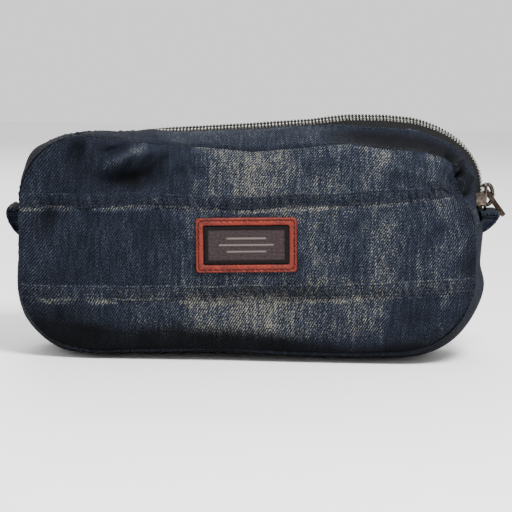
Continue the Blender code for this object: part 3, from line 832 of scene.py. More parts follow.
def leather():
    """Red-brown leather: fine grain, a darker burnished edge, painted shade in the stitch holes and rubbed
    high spots.
    """
    s = Shade("leather", 0.55, Specular_IOR_Level=0.2, Coat_Weight=0.05, Coat_Roughness=0.45)
    own = s.own()
    grain = s.cells(own, 0.0009)
    pores = s.noise(own, 0.0006, 3)
    cloud = s.noise(own, 0.007, 4)
    value = s.total((cloud, 0.9), (grain, 0.35), (pores, 0.25), (s.value("edge"), -0.42))
    s.bump(grain, 0.00022)
    s.bump(pores, 0.00012)
    burnt, red, rubbed = (0.008, 0.0010, 0.0007), (0.052, 0.0040, 0.0020), (0.135, 0.0125, 0.0055)
    colour = s.ramp(value, (0.15, burnt), (0.50, red), (0.9, rubbed))
    return s.done(colour, s.span(value, 0.3, 0.9, 0.62, 0.46))


def label_cloth():
    """Woven label: a dark purple border round a field of mauve-grey threads."""
    s = Shade("label_cloth", 0.8, Specular_IOR_Level=0.15)
    cloth = s.cloth()
    mark = s.value("mark")
    weave = s.plain_weave(cloth, 0.00062, 0.00055)
    value = s.total((weave, 0.45), (s.noise(cloth, 0.0011, 3, (1.0, 2.0, 1.0)), 0.75))
    field = s.ramp(value, (0.30, (0.008, 0.0045, 0.0052)), (0.80, (0.048, 0.0330, 0.0350)))
    colour = s.mix(s.value("edge"), field, (0.0022, 0.0009, 0.0013))
    colour = s.mix(mark, colour, (0.105, 0.088, 0.082))
    s.bump(weave, 0.00015)
    s.bump(mark, 0.0003)
    return s.done(colour)


def floor_paint():
    s = Shade("floor_paint", 0.6)
    return s.done(s.ramp(s.noise(s.own(), 0.05, 4), (0.3, (0.80, 0.80, 0.80)), (0.7, (0.82, 0.82, 0.82))))


DENIM = denim()
LINING_CLOTH = lining_cloth()
TAPE_CLOTH = tape_cloth()
BINDING_CLOTH = binding_cloth()
NAVY_THREAD = thread("navy_thread", (0.004, 0.005, 0.009), (0.016, 0.020, 0.030))
RED_THREAD = thread("red_thread", (0.014, 0.003, 0.002), (0.060, 0.010, 0.006))
OLD_BRASS = metal("old_brass", (0.016, 0.0145, 0.010), (0.095, 0.088, 0.064), 0.42)
# The two rows are one metal: the front row is painted brighter as painted light, and the back row darker old
# brass as painted shade.
LIT_FRONT_TEETH = metal("lit_front_teeth", (0.060, 0.058, 0.048), (0.40, 0.39, 0.35), 0.30)
GUNMETAL = metal("gunmetal", (0.012, 0.0088, 0.0075), (0.15, 0.118, 0.10), 0.22)
DARK_METAL = metal("dark_metal", (0.008, 0.0050, 0.0040), (0.060, 0.042, 0.034), 0.34)
LEATHER = leather()
LABEL_CLOTH = label_cloth()

# ---- Front and back panels ----

PANEL_LOW, PANEL_HIGH = SEAM_INSET, HEIGHT - SEAM_INSET


def panel_points(x, z, side, lift=0.0):
    """Points of a panel's outer face, raised by lift."""
    depth = panel_face(x, z, side) + lift
    warped_x, warped_z = warp(x, z, side)
    return np.stack([warped_x, side * depth, warped_z], 2)


def belongs(piece, body, slot, *nodes):
    """Says which body a piece rides on and the nodes it replaces; slot, the record's slot for its finish, is
    not used.
    """
    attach(piece, body)
    if nodes:
        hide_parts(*nodes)


def end_grid(seam_z, outer_z):
    """x and z of the front's top or bottom strip: its rows run with the seam, and end round the corners."""
    joint_z = float(seam_z(np.zeros(1))[0])
    rows = panel_rows(min(outer_z, joint_z), max(outer_z, joint_z), PANEL_STEP)[:, None]
    share = (rows - rows.min()) / (rows.max() - rows.min())
    x = np.linspace(-1, 1, int(2 * HALF_WIDTH / PANEL_STEP))[None, :] * seam_half_width(rows)
    return x, rows + (seam_z(x) - joint_z) * (1 - share if outer_z > joint_z else share)


FELL_CLOTH = 0.7  # thickness of the cloth folded over a felled seam
FELL_ROWS = 17
FELL_STITCHES = (0.2, 0.8)  # the two rows of stitches, as shares of a felled seam's height


def fell_profile(share):
    """How far a felled seam stands over the cloth: flat, with two sewn grooves and rounded edges."""
    edge = smooth(0.0, 0.12, share) * smooth(1.0, 0.90, share)
    groove = bell(share, FELL_STITCHES[0], 0.06) + bell(share, FELL_STITCHES[1], 0.06)
    return 1.15 * edge - 0.42 * groove


def felled_seam(name, seam_z, node, seed, worn):
    half = seam_half_width(seam_z(np.zeros(1)))[0] - 0.3
    x = np.linspace(-half, half, int(2 * half / 0.7))
    share = np.linspace(0, 1, FELL_ROWS)[:, None]
    z = seam_z(x) + FELL_HALF * (2 * share - 1)
    x = np.broadcast_to(x, z.shape)
    drawn = np.clip(0.55 + 0.75 * noise(x, 0, 15, seed + 3), 0.1, 1.2)
    ripple = np.sin((x + 2.6 * noise(x, 0, 7, seed) + 0.3 * (z - seam_z(x))) * 2 * pi / 3.9)
    ripple = ripple * drawn * np.sin(share * pi) ** 1.5
    lift = fell_profile(share) * (0.85 + 0.35 * noise(x, 0, 8, seed)) + 0.42 * ripple - 0.2
    points = panel_points(x, z, -1, lift)
    patchy = np.clip(0.55 + uneven(x, 0, (0.6, 11, seed + 1), (0.3, 1.9, seed + 2)), 0, 1.2)
    edges = 0.95 * bell(share, 0, 0.13) * (1 - 0.5 * smooth(0, 60, x)) + 0.25 * bell(share, 1, 0.07)
    ticks = 0.34 * np.maximum(ripple, 0) * (0.5 + 0.5 * noise(x, 0, 15, seed + 4))
    fade = worn + 0.45 * front_fade(x, z) + edges * patchy + ticks
    dark = np.clip(0.22 * np.sin(share * pi) + 0.8 * front_shade_and_tone(x, z), 0, 0.9)
    piece = sheet(name, points, FELL_CLOTH, DENIM, (x + 40, z), fade, dark)
    belongs(piece, "pouch", "dark_denim", node)
    normal = normals_of(points)
    normal = normal * np.where(normal[..., 1:2] > 0, -1, 1)
    for at, place in zip(FELL_STITCHES, ("low", "high")):
        row = round(at * (FELL_ROWS - 1))
        line, out = points[row, 3:-3], normal[row, 3:-3]
        sewn = stitches(name + "_stitches_" + place, line, out, NAVY_THREAD, length=2.1, gap=0.9, radius=0.17)
        belongs(sewn, "pouch", "dark_denim")


def make_front():
    for name, node, (x, z) in (
        ("front_top", "front_strip_upper", end_grid(upper_seam_z, PANEL_HIGH)),
        ("front_middle", "front_strip_middle", strip_grid(lower_seam_z, upper_seam_z, PANEL_STEP, 48)),
        ("front_bottom", "front_strip_lower", end_grid(lower_seam_z, PANEL_LOW)),
    ):
        wear = fell_wear(x, z, upper_seam_z(x), 61) + fell_wear(x, z, lower_seam_z(x), 71)
        fade, dark = front_fade(x, z) + wear, front_shade_and_tone(x, z)
        piece = sheet(name, panel_points(x, z, -1), CLOTH, DENIM, (x, z), fade, dark)
        belongs(piece, "pouch", "denim", node)
    felled_seam("seam_high", upper_seam_z, "felled_seam_upper", 81, 0.20)
    felled_seam("seam_low", lower_seam_z, "felled_seam_lower", 91, 0.36)


def make_back():
    x, z = panel_grid(PANEL_LOW, PANEL_HIGH, 1.5)
    rub = uneven(x, z, (0.10, 18, 54), (0.08, 6, 55))
    edge = 0.25 * smooth(5, 1, inside_seam(x, z))
    fade = 0.20 + 0.22 * hill(x, z, 10, 58, 60, 30, 0) + rub + edge
    # The back is painted darker near its base, as painted shade.
    piece = sheet("back", panel_points(x, z, 1), CLOTH, DENIM, (x, z), fade, 0.5 * smooth(16, 6, z))
    belongs(piece, "pouch", "denim", "back_panel")


# ---- Gusset ----


def outward(run):
    """Outward directions of the crown at a run's stations."""
    ahead = np.gradient(CROWN, axis=0)
    normal = np.stack([ahead[:, 1], -ahead[:, 0]], 1)
    return (normal / np.linalg.norm(normal, axis=1, keepdims=True))[run]


def along_gusset(run):
    """A row of distances along the outline, without the jump at its end."""
    total = DISTANCE[-1] + STATION_STEP
    return ((DISTANCE[run] - DISTANCE[run[0]]) % total + DISTANCE[run[0]])[None, :]


# Lumps and puckers of the front zip gusset: bearing, spread, share across, depth and height
GUSSET_FORMS = (
    (22.6, 1.7, 0.74, 0.26, 5.4),
    (17.0, 1.9, 0.72, 0.28, 5.2),
    (19.8, 0.8, 0.74, 0.34, -3.6),
    (12.8, 1.0, 0.70, 0.34, -3.0),
    (26.4, 1.3, 0.74, 0.34, -3.4),
    (6.0, 3.6, 0.62, 0.30, 2.2),
    (131.0, 4.5, 0.45, 0.40, 1.2),
    (147.5, 1.4, 0.40, 0.50, -1.8),
    (143.0, 3.0, 0.50, 0.40, 1.0),
    (158.0, 3.5, 0.50, 0.40, 1.0),
)


def gusset_sink(run, side, share):
    """How far the zip gusset sags under a straight line from its fold to the seam."""
    hollow = gusset_hollow(BEARING[run])
    if side > 0:
        hollow = 0.3 * np.maximum(hollow, 0)
    return hollow[None, :] * 4 * share * (1 - share)


def gusset_point_grid(run, side, share):
    """Points of the zip gusset from its folded edge (share 0) to the panel's seam (share 1)."""
    bearing = BEARING[run]
    out = outward(run)
    start = CROWN[run] - out * edge_depth(bearing)[:, None]
    end = SEAMS[side][run]
    plane = start[None] + (end - start)[None] * (share**1.7)[..., None]
    sink = gusset_sink(run, side, share)
    fold = 0.9 * (1 - smooth(0, 0.07, share))
    distance = along_gusset(run)
    rough = uneven(distance, share * SEAM_Y, (0.40, 11, 101 + side), (0.22, 5, 103 + side))
    ripple = np.sin((distance + 2 * noise(distance, 0, 8, 105)) * 2 * pi / 5.2)
    pucker = 0.30 * ripple * (bell(share, 1, 0.18) + 0.7 * bell(share, 0, 0.16))
    lift = (rough + pucker) * smooth(1.0, 0.9, share) - sink - fold
    if side < 0:
        for at, spread, place, depth, height in GUSSET_FORMS:
            lift = lift + height * bell(bearing[None, :], at, spread) * bell(share, place, depth)
    plane = plane + out[None] * lift[..., None]
    fold_y = FOLD_Y + smooth(24, 17, bearing)[None, :] * 1.5
    y = side * (fold_y + (SEAM_Y + 0.2 - fold_y) * share)
    y = y + side * 0.4 * noise(distance, 0, 14, 107 + side) * (1 - share)
    return deepened(plane, y)


def gusset_fade(run, side, share):
    bearing = BEARING[run][None, :]
    distance = along_gusset(run)
    # Painted light: the top of the gusset, which faces the lamps, is paler.
    light = smooth(54, 66, bearing) * smooth(136, 120, bearing)
    fade = 0.14 + 0.26 * light * smooth(0.98, 0.8, share) * (1 if side < 0 else 0.8)
    worn = (0.30 + 0.32 * smooth(62, 54, bearing)) * smooth(146, 134, bearing)
    fade = fade + worn * (1 - smooth(0.03, 0.12, share)) * (0.6 + 0.4 * noise(distance, 0, 6, 109))
    fade = fade + 0.36 * bell(bearing, 7, 4.5) * bell(share, 0.75, 0.3)
    return fade + uneven(distance, share * 25, (0.10, 9, 111), (0.06, 4, 112))


def gusset_shade(run, side, share):
    bearing = BEARING[run][None, :]
    # Painted shade: near-black in the hollow where the gusset sinks, on the puckered lumps at the right
    # corner and in the creases between them.
    hollow = smooth(66, 44, bearing) * smooth(22, 28, bearing) * smooth(0.08, 0.40, share)
    lumps = smooth(28, 25, bearing) * smooth(11, 13, bearing) * smooth(0.3, 0.5, share)
    creases = (bell(bearing, 19.8, 0.9) + bell(bearing, 26.2, 1.2)) * smooth(0.35, 0.55, share)
    # Darker beside the seam and at the left end.
    dark = 0.35 * smooth(0.9, 1.0, share) + 0.42 * smooth(134, 146, bearing)
    dark = dark + (1.0 if side < 0 else 0.3) * (0.80 * hollow + 0.58 * lumps + 0.4 * creases)
    return np.clip(dark, 0, 0.92)


# The quarters of the zip gusset: side, face, run, hand, direction
QUARTERS = [
    (side, face, run, hand, direction)
    for side, face in ((-1, "front"), (1, "back"))
    for run, hand, direction in ((TOP_LEFT_RUN, "left", -1), (TOP_RIGHT_RUN, "right", 1))
]


def mouth_piece(piece, side, direction, slot, *nodes):
    """Bakes a piece's place into its points and hides the nodes it replaces."""
    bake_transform(piece)
    if nodes:
        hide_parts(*nodes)


def make_zip_gusset():
    share = np.concatenate([[0, 0.02, 0.045, 0.08], np.linspace(0.12, 1, 22)])[:, None]
    for side, face, run, hand, direction in QUARTERS:
        points = gusset_point_grid(run, side, share)
        cloth = (along_gusset(run), side * share * (SEAM_Y - FOLD_Y))
        name = "gusset_" + face + "_" + hand
        fade, dark = gusset_fade(run, side, share), gusset_shade(run, side, share)
        piece = sheet(name + "_cloth", points, CLOTH, DENIM, cloth, fade, dark)
        mouth_piece(piece, side, direction, "denim", name, "gusset_" + face + "_mouth")


def make_bottom_gusset():
    run = BOTTOM_RUN
    out = outward(run)
    y = np.linspace(-1, 1, 41)[:, None]
    rest = np.where(y < 0, FRONT_REST, BACK_REST) / SEAM_Y
    flat = np.maximum(0, -NORMAL[run][:, 1])[None, :] * rest
    fall = np.clip((np.abs(y) - flat) / (1 - flat), 0, 1) ** 2
    seam = np.where(y[..., None] < 0, SEAMS[-1][run], SEAMS[1][run])
    plane = CROWN[run] + (seam - CROWN[run]) * fall[..., None]
    distance = along_gusset(run)
    rough = uneven(distance, y * SEAM_Y, (0.35, 12, 121), (0.2, 5, 122))
    ripple = np.sin((distance + 2 * noise(distance, 0, 8, 123)) * 2 * pi / 5.4)
    edge = bell(np.abs(y), 1, 0.14)
    upright = 1 - np.maximum(0, -NORMAL[run][:, 1])[None, :]
    lift = (rough * upright + 0.3 * ripple * edge) * smooth(1.0, 0.93, np.abs(y))
    plane = plane + out[None] * lift[..., None]
    # A wide fold holds the front's lower edge a little off the floor
    raised = 1.6 * bell(plane[..., 0], -14, 20) * smooth(-0.1, -0.6, y)
    plane[..., 1] = np.maximum(plane[..., 1], 0.0) + raised
    points = deepened(plane, y * (SEAM_Y + 0.2))
    fade = 0.16 + 0.10 * noise(distance, y * SEAM_Y, 9, 124) + 0.20 * edge * upright
    # Painted shade: darker towards the floor, where the base turns under.
    dark = 0.55 * smooth(26, 6, BASE[run][:, 1])[None, :] + 0 * y
    piece = sheet("gusset_base", points, CLOTH, DENIM, (distance, y * SEAM_Y), fade, dark)
    belongs(piece, "pouch", "dark_denim", "bottom_gusset")


def make_gusset_stitches():
    """Rows of thread along the gusset, beside the zip and beside the panels' seam."""
    for side, face, run, hand, direction in QUARTERS:
        for place, at, radius in (("zip", 0.10, 0.2), ("seam", 0.88, 0.26)):
            around = gusset_point_grid(run, side, np.array([[at - 0.01], [at], [at + 0.01]]))
            normal, line = normals_of(around)[1], around[1]
            normal = normal * np.where((normal * (line - CENTRE)).sum(1, keepdims=True) < 0, -1, 1)
            name = "gusset_" + face + "_" + hand + "_stitches_" + place
            piece = stitches(name, line, normal, NAVY_THREAD, length=2.0, gap=1.0, radius=radius)
            mouth_piece(piece, side, direction, "denim")


# ---- Zip ----

TOOTH_STEP = 1.6
OPEN_END = 6.0  # the chain stops this far from each end of the zip
# Cross-sections of a tooth, from its tip over the middle to its root: reach, half-width and half-height
TOOTH_RINGS = (
    (-0.75, 0.20, 0.25),
    (-0.35, 0.30, 0.30),
    (0.8, 0.34, 0.34),
    (1.3, 0.50, 0.66),
    (2.3, 0.54, 0.70),
    (2.8, 0.42, 0.50),
)


def zip_path(run):
    """The middle of the zip's chain, and its outward direction, at a run's stations."""
    out = outward(run)
    return CROWN[run] - out * zip_depth(BEARING[run])[:, None], out


def tape_grid(run, side):
    """From the cord that carries the teeth down to the edge sewn under the gusset."""
    path, out = zip_path(run)
    share = np.linspace(0, 1, 15)[:, None]
    under = edge_depth(BEARING[run]) + CLOTH + 0.9 - zip_depth(BEARING[run])
    y = side * (TAPE_INNER + (TAPE_OUTER - TAPE_INNER) * share)
    inward = np.clip((np.abs(y) - FOLD_Y) / (SEAM_Y - FOLD_Y), 0, 1)
    slope = np.hypot(*(SEAMS[side][run] - path).T)[None, :] * inward**1.7
    drop = np.maximum(under, 0.6)[None, :] * smooth(0, 0.45, share) + slope
    drop = drop + np.maximum(gusset_sink(run, side, inward), 0) + 2.0 * inward
    bead = 0.5 * bell(np.abs(y), 2.3, 0.8)
    rise = zip_lean(BEARING[run])[None, :] * np.clip(y, -3, 3) + bead - drop
    return deepened(path[None] + out[None] * rise[..., None], y)


# The outline of each of them: shares of its half-width and half-height
TOOTH_CORNERS = np.array(
    ((-1, -0.55), (-0.55, -1), (0.55, -1), (1, -0.55), (1, 0.55), (0.55, 1), (-0.55, 1), (-1, 0.55))
)


def tooth(centre, along, out, side, lean):
    """One tooth: a tapered block that clasps the tape's cord and reaches over the middle."""
    across = np.array([0, side, 0.0]) + out * side * lean
    points = []
    for y, half_wide, half_high in TOOTH_RINGS:
        for a, b in TOOTH_CORNERS:
            points.append(centre + across * y + along * (a * half_wide) + out * (b * half_high))
    return points, skin(len(TOOTH_RINGS), len(TOOTH_CORNERS))


def make_zip():
    for side, face, run, hand, direction in QUARTERS:
        points = tape_grid(run, side)
        end = face + "_" + hand
        tape = sheet("tape_" + end, points, TAPE, TAPE_CLOTH, (along_gusset(run), points[..., 1]))
        nodes = ("zip_tape_" + end, "zip_tape_" + face + "_mouth")
        mouth_piece(tape, side, direction, "zip_tape", *nodes)
        path = zip_path(run)[0]
        along = distances(path)
        start = OPEN_END if hand == "right" else 0.0
        stop = along[-1] - (0.0 if hand == "right" else OPEN_END)
        offset = 0.4 if side < 0 else 0.4 + TOOTH_STEP / 2
        parts = []
        for at in np.arange(start + offset, stop, TOOTH_STEP):
            (x, z), (next_x, next_z) = points_at(at, along, path), points_at(at + 0.5, along, path)
            ahead = Vector((next_x - x, 0, next_z - z)).normalized()
            away = Vector((ahead.z, 0, -ahead.x))
            lean = float(zip_lean(bearing_of(x, z)))
            parts.append(tooth(np.array([x, 0, z]), np.array(ahead), np.array(away), side, lean))
        teeth = joined("teeth_" + end, parts, LIT_FRONT_TEETH if side < 0 else OLD_BRASS)
        # Painted shade on the teeth where the two rows interlock.
        grime = np.repeat(smooth(1.3, 0.8, [y for y, _, _ in TOOTH_RINGS]), len(TOOTH_CORNERS))
        add_values(teeth.data, grime=np.tile(grime, len(parts)))
        nodes = ("zip_teeth_" + end, "zip_teeth_" + face + "_mouth")
        mouth_piece(teeth, side, direction, "zip_teeth", *nodes)


UPRIGHT = ((1, 0, 0), (0, 1, 0), (0, 0, 1))


def rounded_block(centre, half, axes=UPRIGHT, bevel=0.3):
    """Points and faces of a block with cut edges. axes are its three directions."""
    shape = bmesh.new()
    bmesh.ops.create_cube(shape, size=2)
    bmesh.ops.scale(shape, vec=half, verts=shape.verts)
    bmesh.ops.bevel(shape, geom=shape.edges[:], offset=bevel, segments=2, affect="EDGES", profile=0.6)
    turn = np.array(axes, float)
    shape.verts.ensure_lookup_table()
    points = np.array([v.co for v in shape.verts]) @ turn + np.asarray(centre, float)
    faces = [tuple(v.index for v in face.verts) for face in shape.faces]
    shape.free()
    return points, faces


def make_stops():
    """Metal stops at both ends of the zip."""
    for name, run, index, y in (
        ("zip_stop_front", TOP_RIGHT_RUN, 5, -1.6),
        ("zip_stop_back", TOP_RIGHT_RUN, 5, 1.6),
        ("zip_stop_end", TOP_LEFT_RUN, -3, 0.0),
    ):
        path, out = zip_path(run)
        ahead = path[index] - path[index - 1]
        ahead = ahead / np.linalg.norm(ahead)
        axes = ((ahead[0], 0, ahead[1]), (0, 1, 0), (out[index][0], 0, out[index][1]))
        half = (1.0, 2.6 if y == 0 else 1.1, 1.0)
        centre = (path[index][0], y, path[index][1])
        piece = joined(name + "_metal", [rounded_block(centre, half, axes)], OLD_BRASS)
        belongs(piece, "pouch", "zip_teeth", name)


# ---- Slider and puller ----


# Half the cross-section of a slider's wing, from its inner face to the middle of its outer one: share of
# its thickness, and share of its half-width
WING_SECTION = ((0, 0.9), (0.25, 1.0), (0.7, 0.97), (1, 0.8), (1.04, 0.0))


def slider_wing(x_out, x_in, half_length, wide, narrow):
    """A wing of the slider: a plate that is wide at its mouth and narrow at its tail, with rounded edges."""
    half_section = [(share, -y) for share, y in WING_SECTION]
    section = half_section + [(share, y) for share, y in reversed(WING_SECTION[:-1])]
    points = []
    steps = np.linspace(-1, 1, 13)
    for t in steps:
        round_end = np.sqrt(max(0.0, 1 - max(0.0, (abs(t) - 0.72) / 0.28) ** 2)) * 0.75 + 0.25
        half = (narrow + (wide - narrow) * smooth(-0.5, 0.7, t)) * round_end
        z = PIVOT[2] - 0.6 + t * (half_length + 0.6)
        thick = (x_out - x_in) * (0.86 + 0.14 * round_end)
        points += [(x_in + share * thick, y * half, z) for share, y in section]
    return points, skin(len(steps), len(section))


def make_slider():
    low, high = SLIDER_LOW, SLIDER_HIGH
    half_length = (high[2] - low[2]) / 2
    wide, narrow = high[1] + 0.2, high[1] - 1.3
    outer_face = PIVOT[0] - 1.4
    parts = [
        slider_wing(outer_face, outer_face - 1.2, half_length, wide, narrow),
        slider_wing(low[0] + 1.2, low[0], half_length, wide, narrow),
    ]
    for y in (-1, 1):
        centre = ((outer_face + low[0]) / 2 - 0.1, y * (narrow - 0.05), PIVOT[2] - 1.6)
        half = ((outer_face - low[0]) / 2 - 0.6, 0.5, half_length * 0.55)
        parts.append(rounded_block(centre, half, bevel=0.35))
    divider = ((low[0] + PIVOT[0]) / 2 - 0.1, 0, PIVOT[2] + half_length - 1.3)
    parts.append(rounded_block(divider, (1.7, 0.6, 0.9)))
    arch = []
    for t in np.linspace(0, pi, 21):
        arch.append((outer_face - 0.4 + 3.3 * sin(t) ** 0.7, 0, PIVOT[2] + 0.4 + 4.9 * cos(t)))
    parts.append(tube(arch, 1.5, sides=16, flat=0.68, up=(0, 0.001, 1)))
    piece = joined("slider", parts, GUNMETAL)
    belongs(piece, "slider", "gunmetal", "slider_body")


# The rims of the pull tab's two faces: height over its middle, and how far they stand out
PULLER_EDGES = ((-1.2, -0.35), (-0.95, 0.0), (0.95, 0.0), (1.2, -0.35))


def puller_outline(length, half, grow):
    """The pull tab's outline, as distances down from the pivot and to its side, moved outwards by grow."""
    found = []
    for t in np.linspace(-pi / 2, pi / 2, 11):
        found.append((-1.3 - cos(t) * (half * 0.62 + grow), sin(t) * (half * 0.78 + grow)))
    found += [(2.0, half * 0.84 + grow), (4.6, half * 0.74 + grow), (length - 3.0, half + grow)]
    for t in np.radians(np.linspace(0, 75, 5)):
        down = length - 2.2 + (2.2 + grow) * sin(t)
        found.append((down, half * 0.45 + (half * 0.55 + grow) * cos(t)))
    found.append((length - 0.9 + grow, 0.0))
    return found + [(a, -b) for a, b in reversed(found[11:-1])]


def make_puller():
    """The pull tab: an eye round the slider's bridge, and a short notched blade."""
    low, high = node_box("puller")
    down = np.array([high[0] - 0.6, 0, low[2] + 0.5]) - PIVOT
    length = np.linalg.norm(down)
    down /= length
    side, face = np.array([0, 1.0, 0]), np.cross(down, [0, 1.0, 0])
    # Rings from face to face over the outer edge, and back through the eye
    rings = [(h, puller_outline(length, high[1], grow)) for h, grow in PULLER_EDGES]
    eye = [np.arctan2(b, a - 1.0) for a, b in rings[1][1]]
    rings += [(h, [(1.75 * cos(t) - 0.1, 1.35 * sin(t)) for t in eye]) for h in (1.2, -1.2)]
    points = [PIVOT + down * a + side * b + face * h for h, ring in rings for a, b in ring]
    piece = joined("pull_tab", [(points, skin(len(rings), len(eye), closed=True))], DARK_METAL)
    belongs(piece, "puller", "gunmetal", "puller")


# ---- Patch ----

PATCH_LOW, PATCH_HIGH = node_box("patch_frame")
LABEL_LOW, LABEL_HIGH = node_box("patch_label")
PATCH_TURN = radians(1.7)
PATCH_SCALE = 0.975
PATCH_POINTS = 420  # round its outline
PATCH_STITCH = 3.0  # pitch of its stitches
STITCH_LINE = 0.36  # where they run, as a share from its outer edge to its inner one
# Rings across the leather frame: share from the outer edge to the inner, and height
PATCH_RINGS = (
    (0.0, -0.4), (0.0, 0.75), (0.05, 1.15), (0.14, 1.32), (0.24, 1.34), (0.30, 1.26), (0.36, 1.16),
    (0.42, 1.26), (0.50, 1.36), (0.70, 1.38), (0.86, 1.34), (0.95, 1.18), (1.0, 0.8), (1.0, 0.2),
)  # fmt: skip


def patch_point(a, b, lift):
    """A point of the patch from distances along its own width and height, on the front's face."""
    centre = (PATCH_LOW + PATCH_HIGH) / 2
    x = centre[0] + a * cos(PATCH_TURN) - b * sin(PATCH_TURN)
    z = centre[2] + a * sin(PATCH_TURN) + b * cos(PATCH_TURN)
    ground = FRONT_FACE + 0.15 + 0.25 * noise(x, z, 18, 131)
    return np.stack([x, -(ground + lift) + 0 * x, z], -1)


def patch_halves(low, high):
    """Half the width and height of a turned rectangle from its upright box."""
    wide, tall = (high[0] - low[0]) / 2, (high[2] - low[2]) / 2
    c, s = cos(PATCH_TURN), sin(PATCH_TURN)
    return (wide * c - tall * s) / (c * c - s * s), (tall * c - wide * s) / (c * c - s * s)


def rounded_rectangle(half_a, half_b, radius):
    """Points round a rectangle with rounded corners, evenly spread, anticlockwise from its right side."""
    found = []
    for sign_a, sign_b, start in ((1, 1, 0), (-1, 1, 90), (-1, -1, 180), (1, -1, 270)):
        for t in np.radians(np.linspace(start, start + 90, 9)):
            corner = (sign_a * (half_a - radius), sign_b * (half_b - radius))
            found.append((corner[0] + radius * cos(t), corner[1] + radius * sin(t)))
    line = np.array(found + found[:1])
    along = distances(line)
    return points_at(np.linspace(0, along[-1], PATCH_POINTS, endpoint=False), along, line)


def make_patch():
    outer_a, outer_b = (PATCH_SCALE * h for h in patch_halves(PATCH_LOW, PATCH_HIGH))
    inner_a, inner_b = (PATCH_SCALE * h + 0.2 for h in patch_halves(LABEL_LOW, LABEL_HIGH))
    outer = rounded_rectangle(outer_a, outer_b, 1.6)
    inner = rounded_rectangle(inner_a, inner_b, 0.8)
    holes = int(np.round(4 * (outer_a + outer_b) / PATCH_STITCH))
    step = np.arange(PATCH_POINTS) / PATCH_POINTS
    points, edge = [], []
    for share, height in PATCH_RINGS:
        a, b = (outer + (inner - outer) * share).T
        hole = np.maximum(0, np.cos(step * holes * 2 * pi)) ** 6 * bell(share, STITCH_LINE, 0.07)
        points.append(patch_point(a, b, height + 0.12 * noise(a, b, 6, 133) - 0.75 * hole))
        # The edge value darkens the burnished outer edge and the inner edge, and paints shade into the stitch
        # holes.
        edge.append(np.clip(1 - share / 0.12, 0, 1) + 0.9 * hole + 0.3 * (share > 0.9))
    faces = skin(len(PATCH_RINGS), PATCH_POINTS, closed=True)
    leather_frame = joined("patch_leather_frame", [(np.concatenate(points), faces)], LEATHER)
    add_values(leather_frame.data, edge=np.concatenate(edge))
    belongs(leather_frame, "pouch", "patch_leather", "patch_frame")
    line = outer + (inner - outer) * STITCH_LINE
    line = np.concatenate([line, line[:1]])
    lift = 1.16 + np.array([-0.45, 0.06, 0.2, 0.24, 0.2, 0.06, -0.45])
    parts = []
    for start in np.linspace(0, 1, holes + 1)[:-1]:
        first = int(start * PATCH_POINTS)
        span = (first + np.linspace(0.08, 0.92, len(lift)) * PATCH_POINTS / holes) % PATCH_POINTS
        a, b = points_at(span, np.arange(PATCH_POINTS + 1), line).T
        parts.append(tube(patch_point(a, b, lift), 0.24, sides=8, up=(0, -1, 0)))
    belongs(joined("patch_stitches", parts, RED_THREAD), "pouch", "patch_leather")
    make_label(inner_a - 0.25, inner_b - 0.25)


def make_label(half_a, half_b):
    """The woven label inside the leather frame, with a plain generic mark of three bars."""
    a, b = np.meshgrid(np.linspace(-half_a, half_a, 110), np.linspace(-half_b, half_b, 56))
    rim = np.minimum(half_a - np.abs(a), half_b - np.abs(b))
    border = smooth(2.2, 1.8, rim)
    bars = sum(
        smooth(0.55, 0.25, np.abs(b - place)) * smooth(half + 0.2, half - 0.2, np.abs(a))
        for place, half in ((3.0, 9.0), (0.0, 12.5), (-3.0, 9.0))
    )
    lift = 0.55 + 0.35 * smooth(0.0, 0.5, rim) + 0.10 * border + 0.16 * bars + 0.10 * noise(a, b, 7, 135)
    piece = sheet("woven_label", patch_point(a, b, lift), 0.5, LABEL_CLOTH, (a, b))
    add_values(piece.data, edge=np.tile(border.ravel(), 2), mark=np.tile(bars.ravel(), 2))
    belongs(piece, "pouch", "label", "patch_label")


# ---- End tabs ----


# The outline of each folded tab from its root over its top and back, by its hand:
# share of its reach, and height from its top
TAB_OUTLINES = {
    -1: ((-0.6, -6.4), (-0.1, -4.2), (0.3, -1.8), (0.62, -0.7), (0.92, -1.6), (1.05, -4.0), (1.0, -6.3),
         (0.78, -9.3), (0.42, -12.3), (0.05, -14.6), (-0.6, -16.4)),
    1: ((-0.5, 0.4), (0.3, 1.0), (0.8, 1.2), (1.03, 0.7), (1.08, -0.5), (0.92, -2.4), (0.6, -5.0),
        (0.2, -7.2), (-0.1, -8.6), (-0.5, -9.6)),
}  # fmt: skip
TAB_POINTS = 46
TAB_STITCHES = 0.62  # where its row of stitches is along its outline


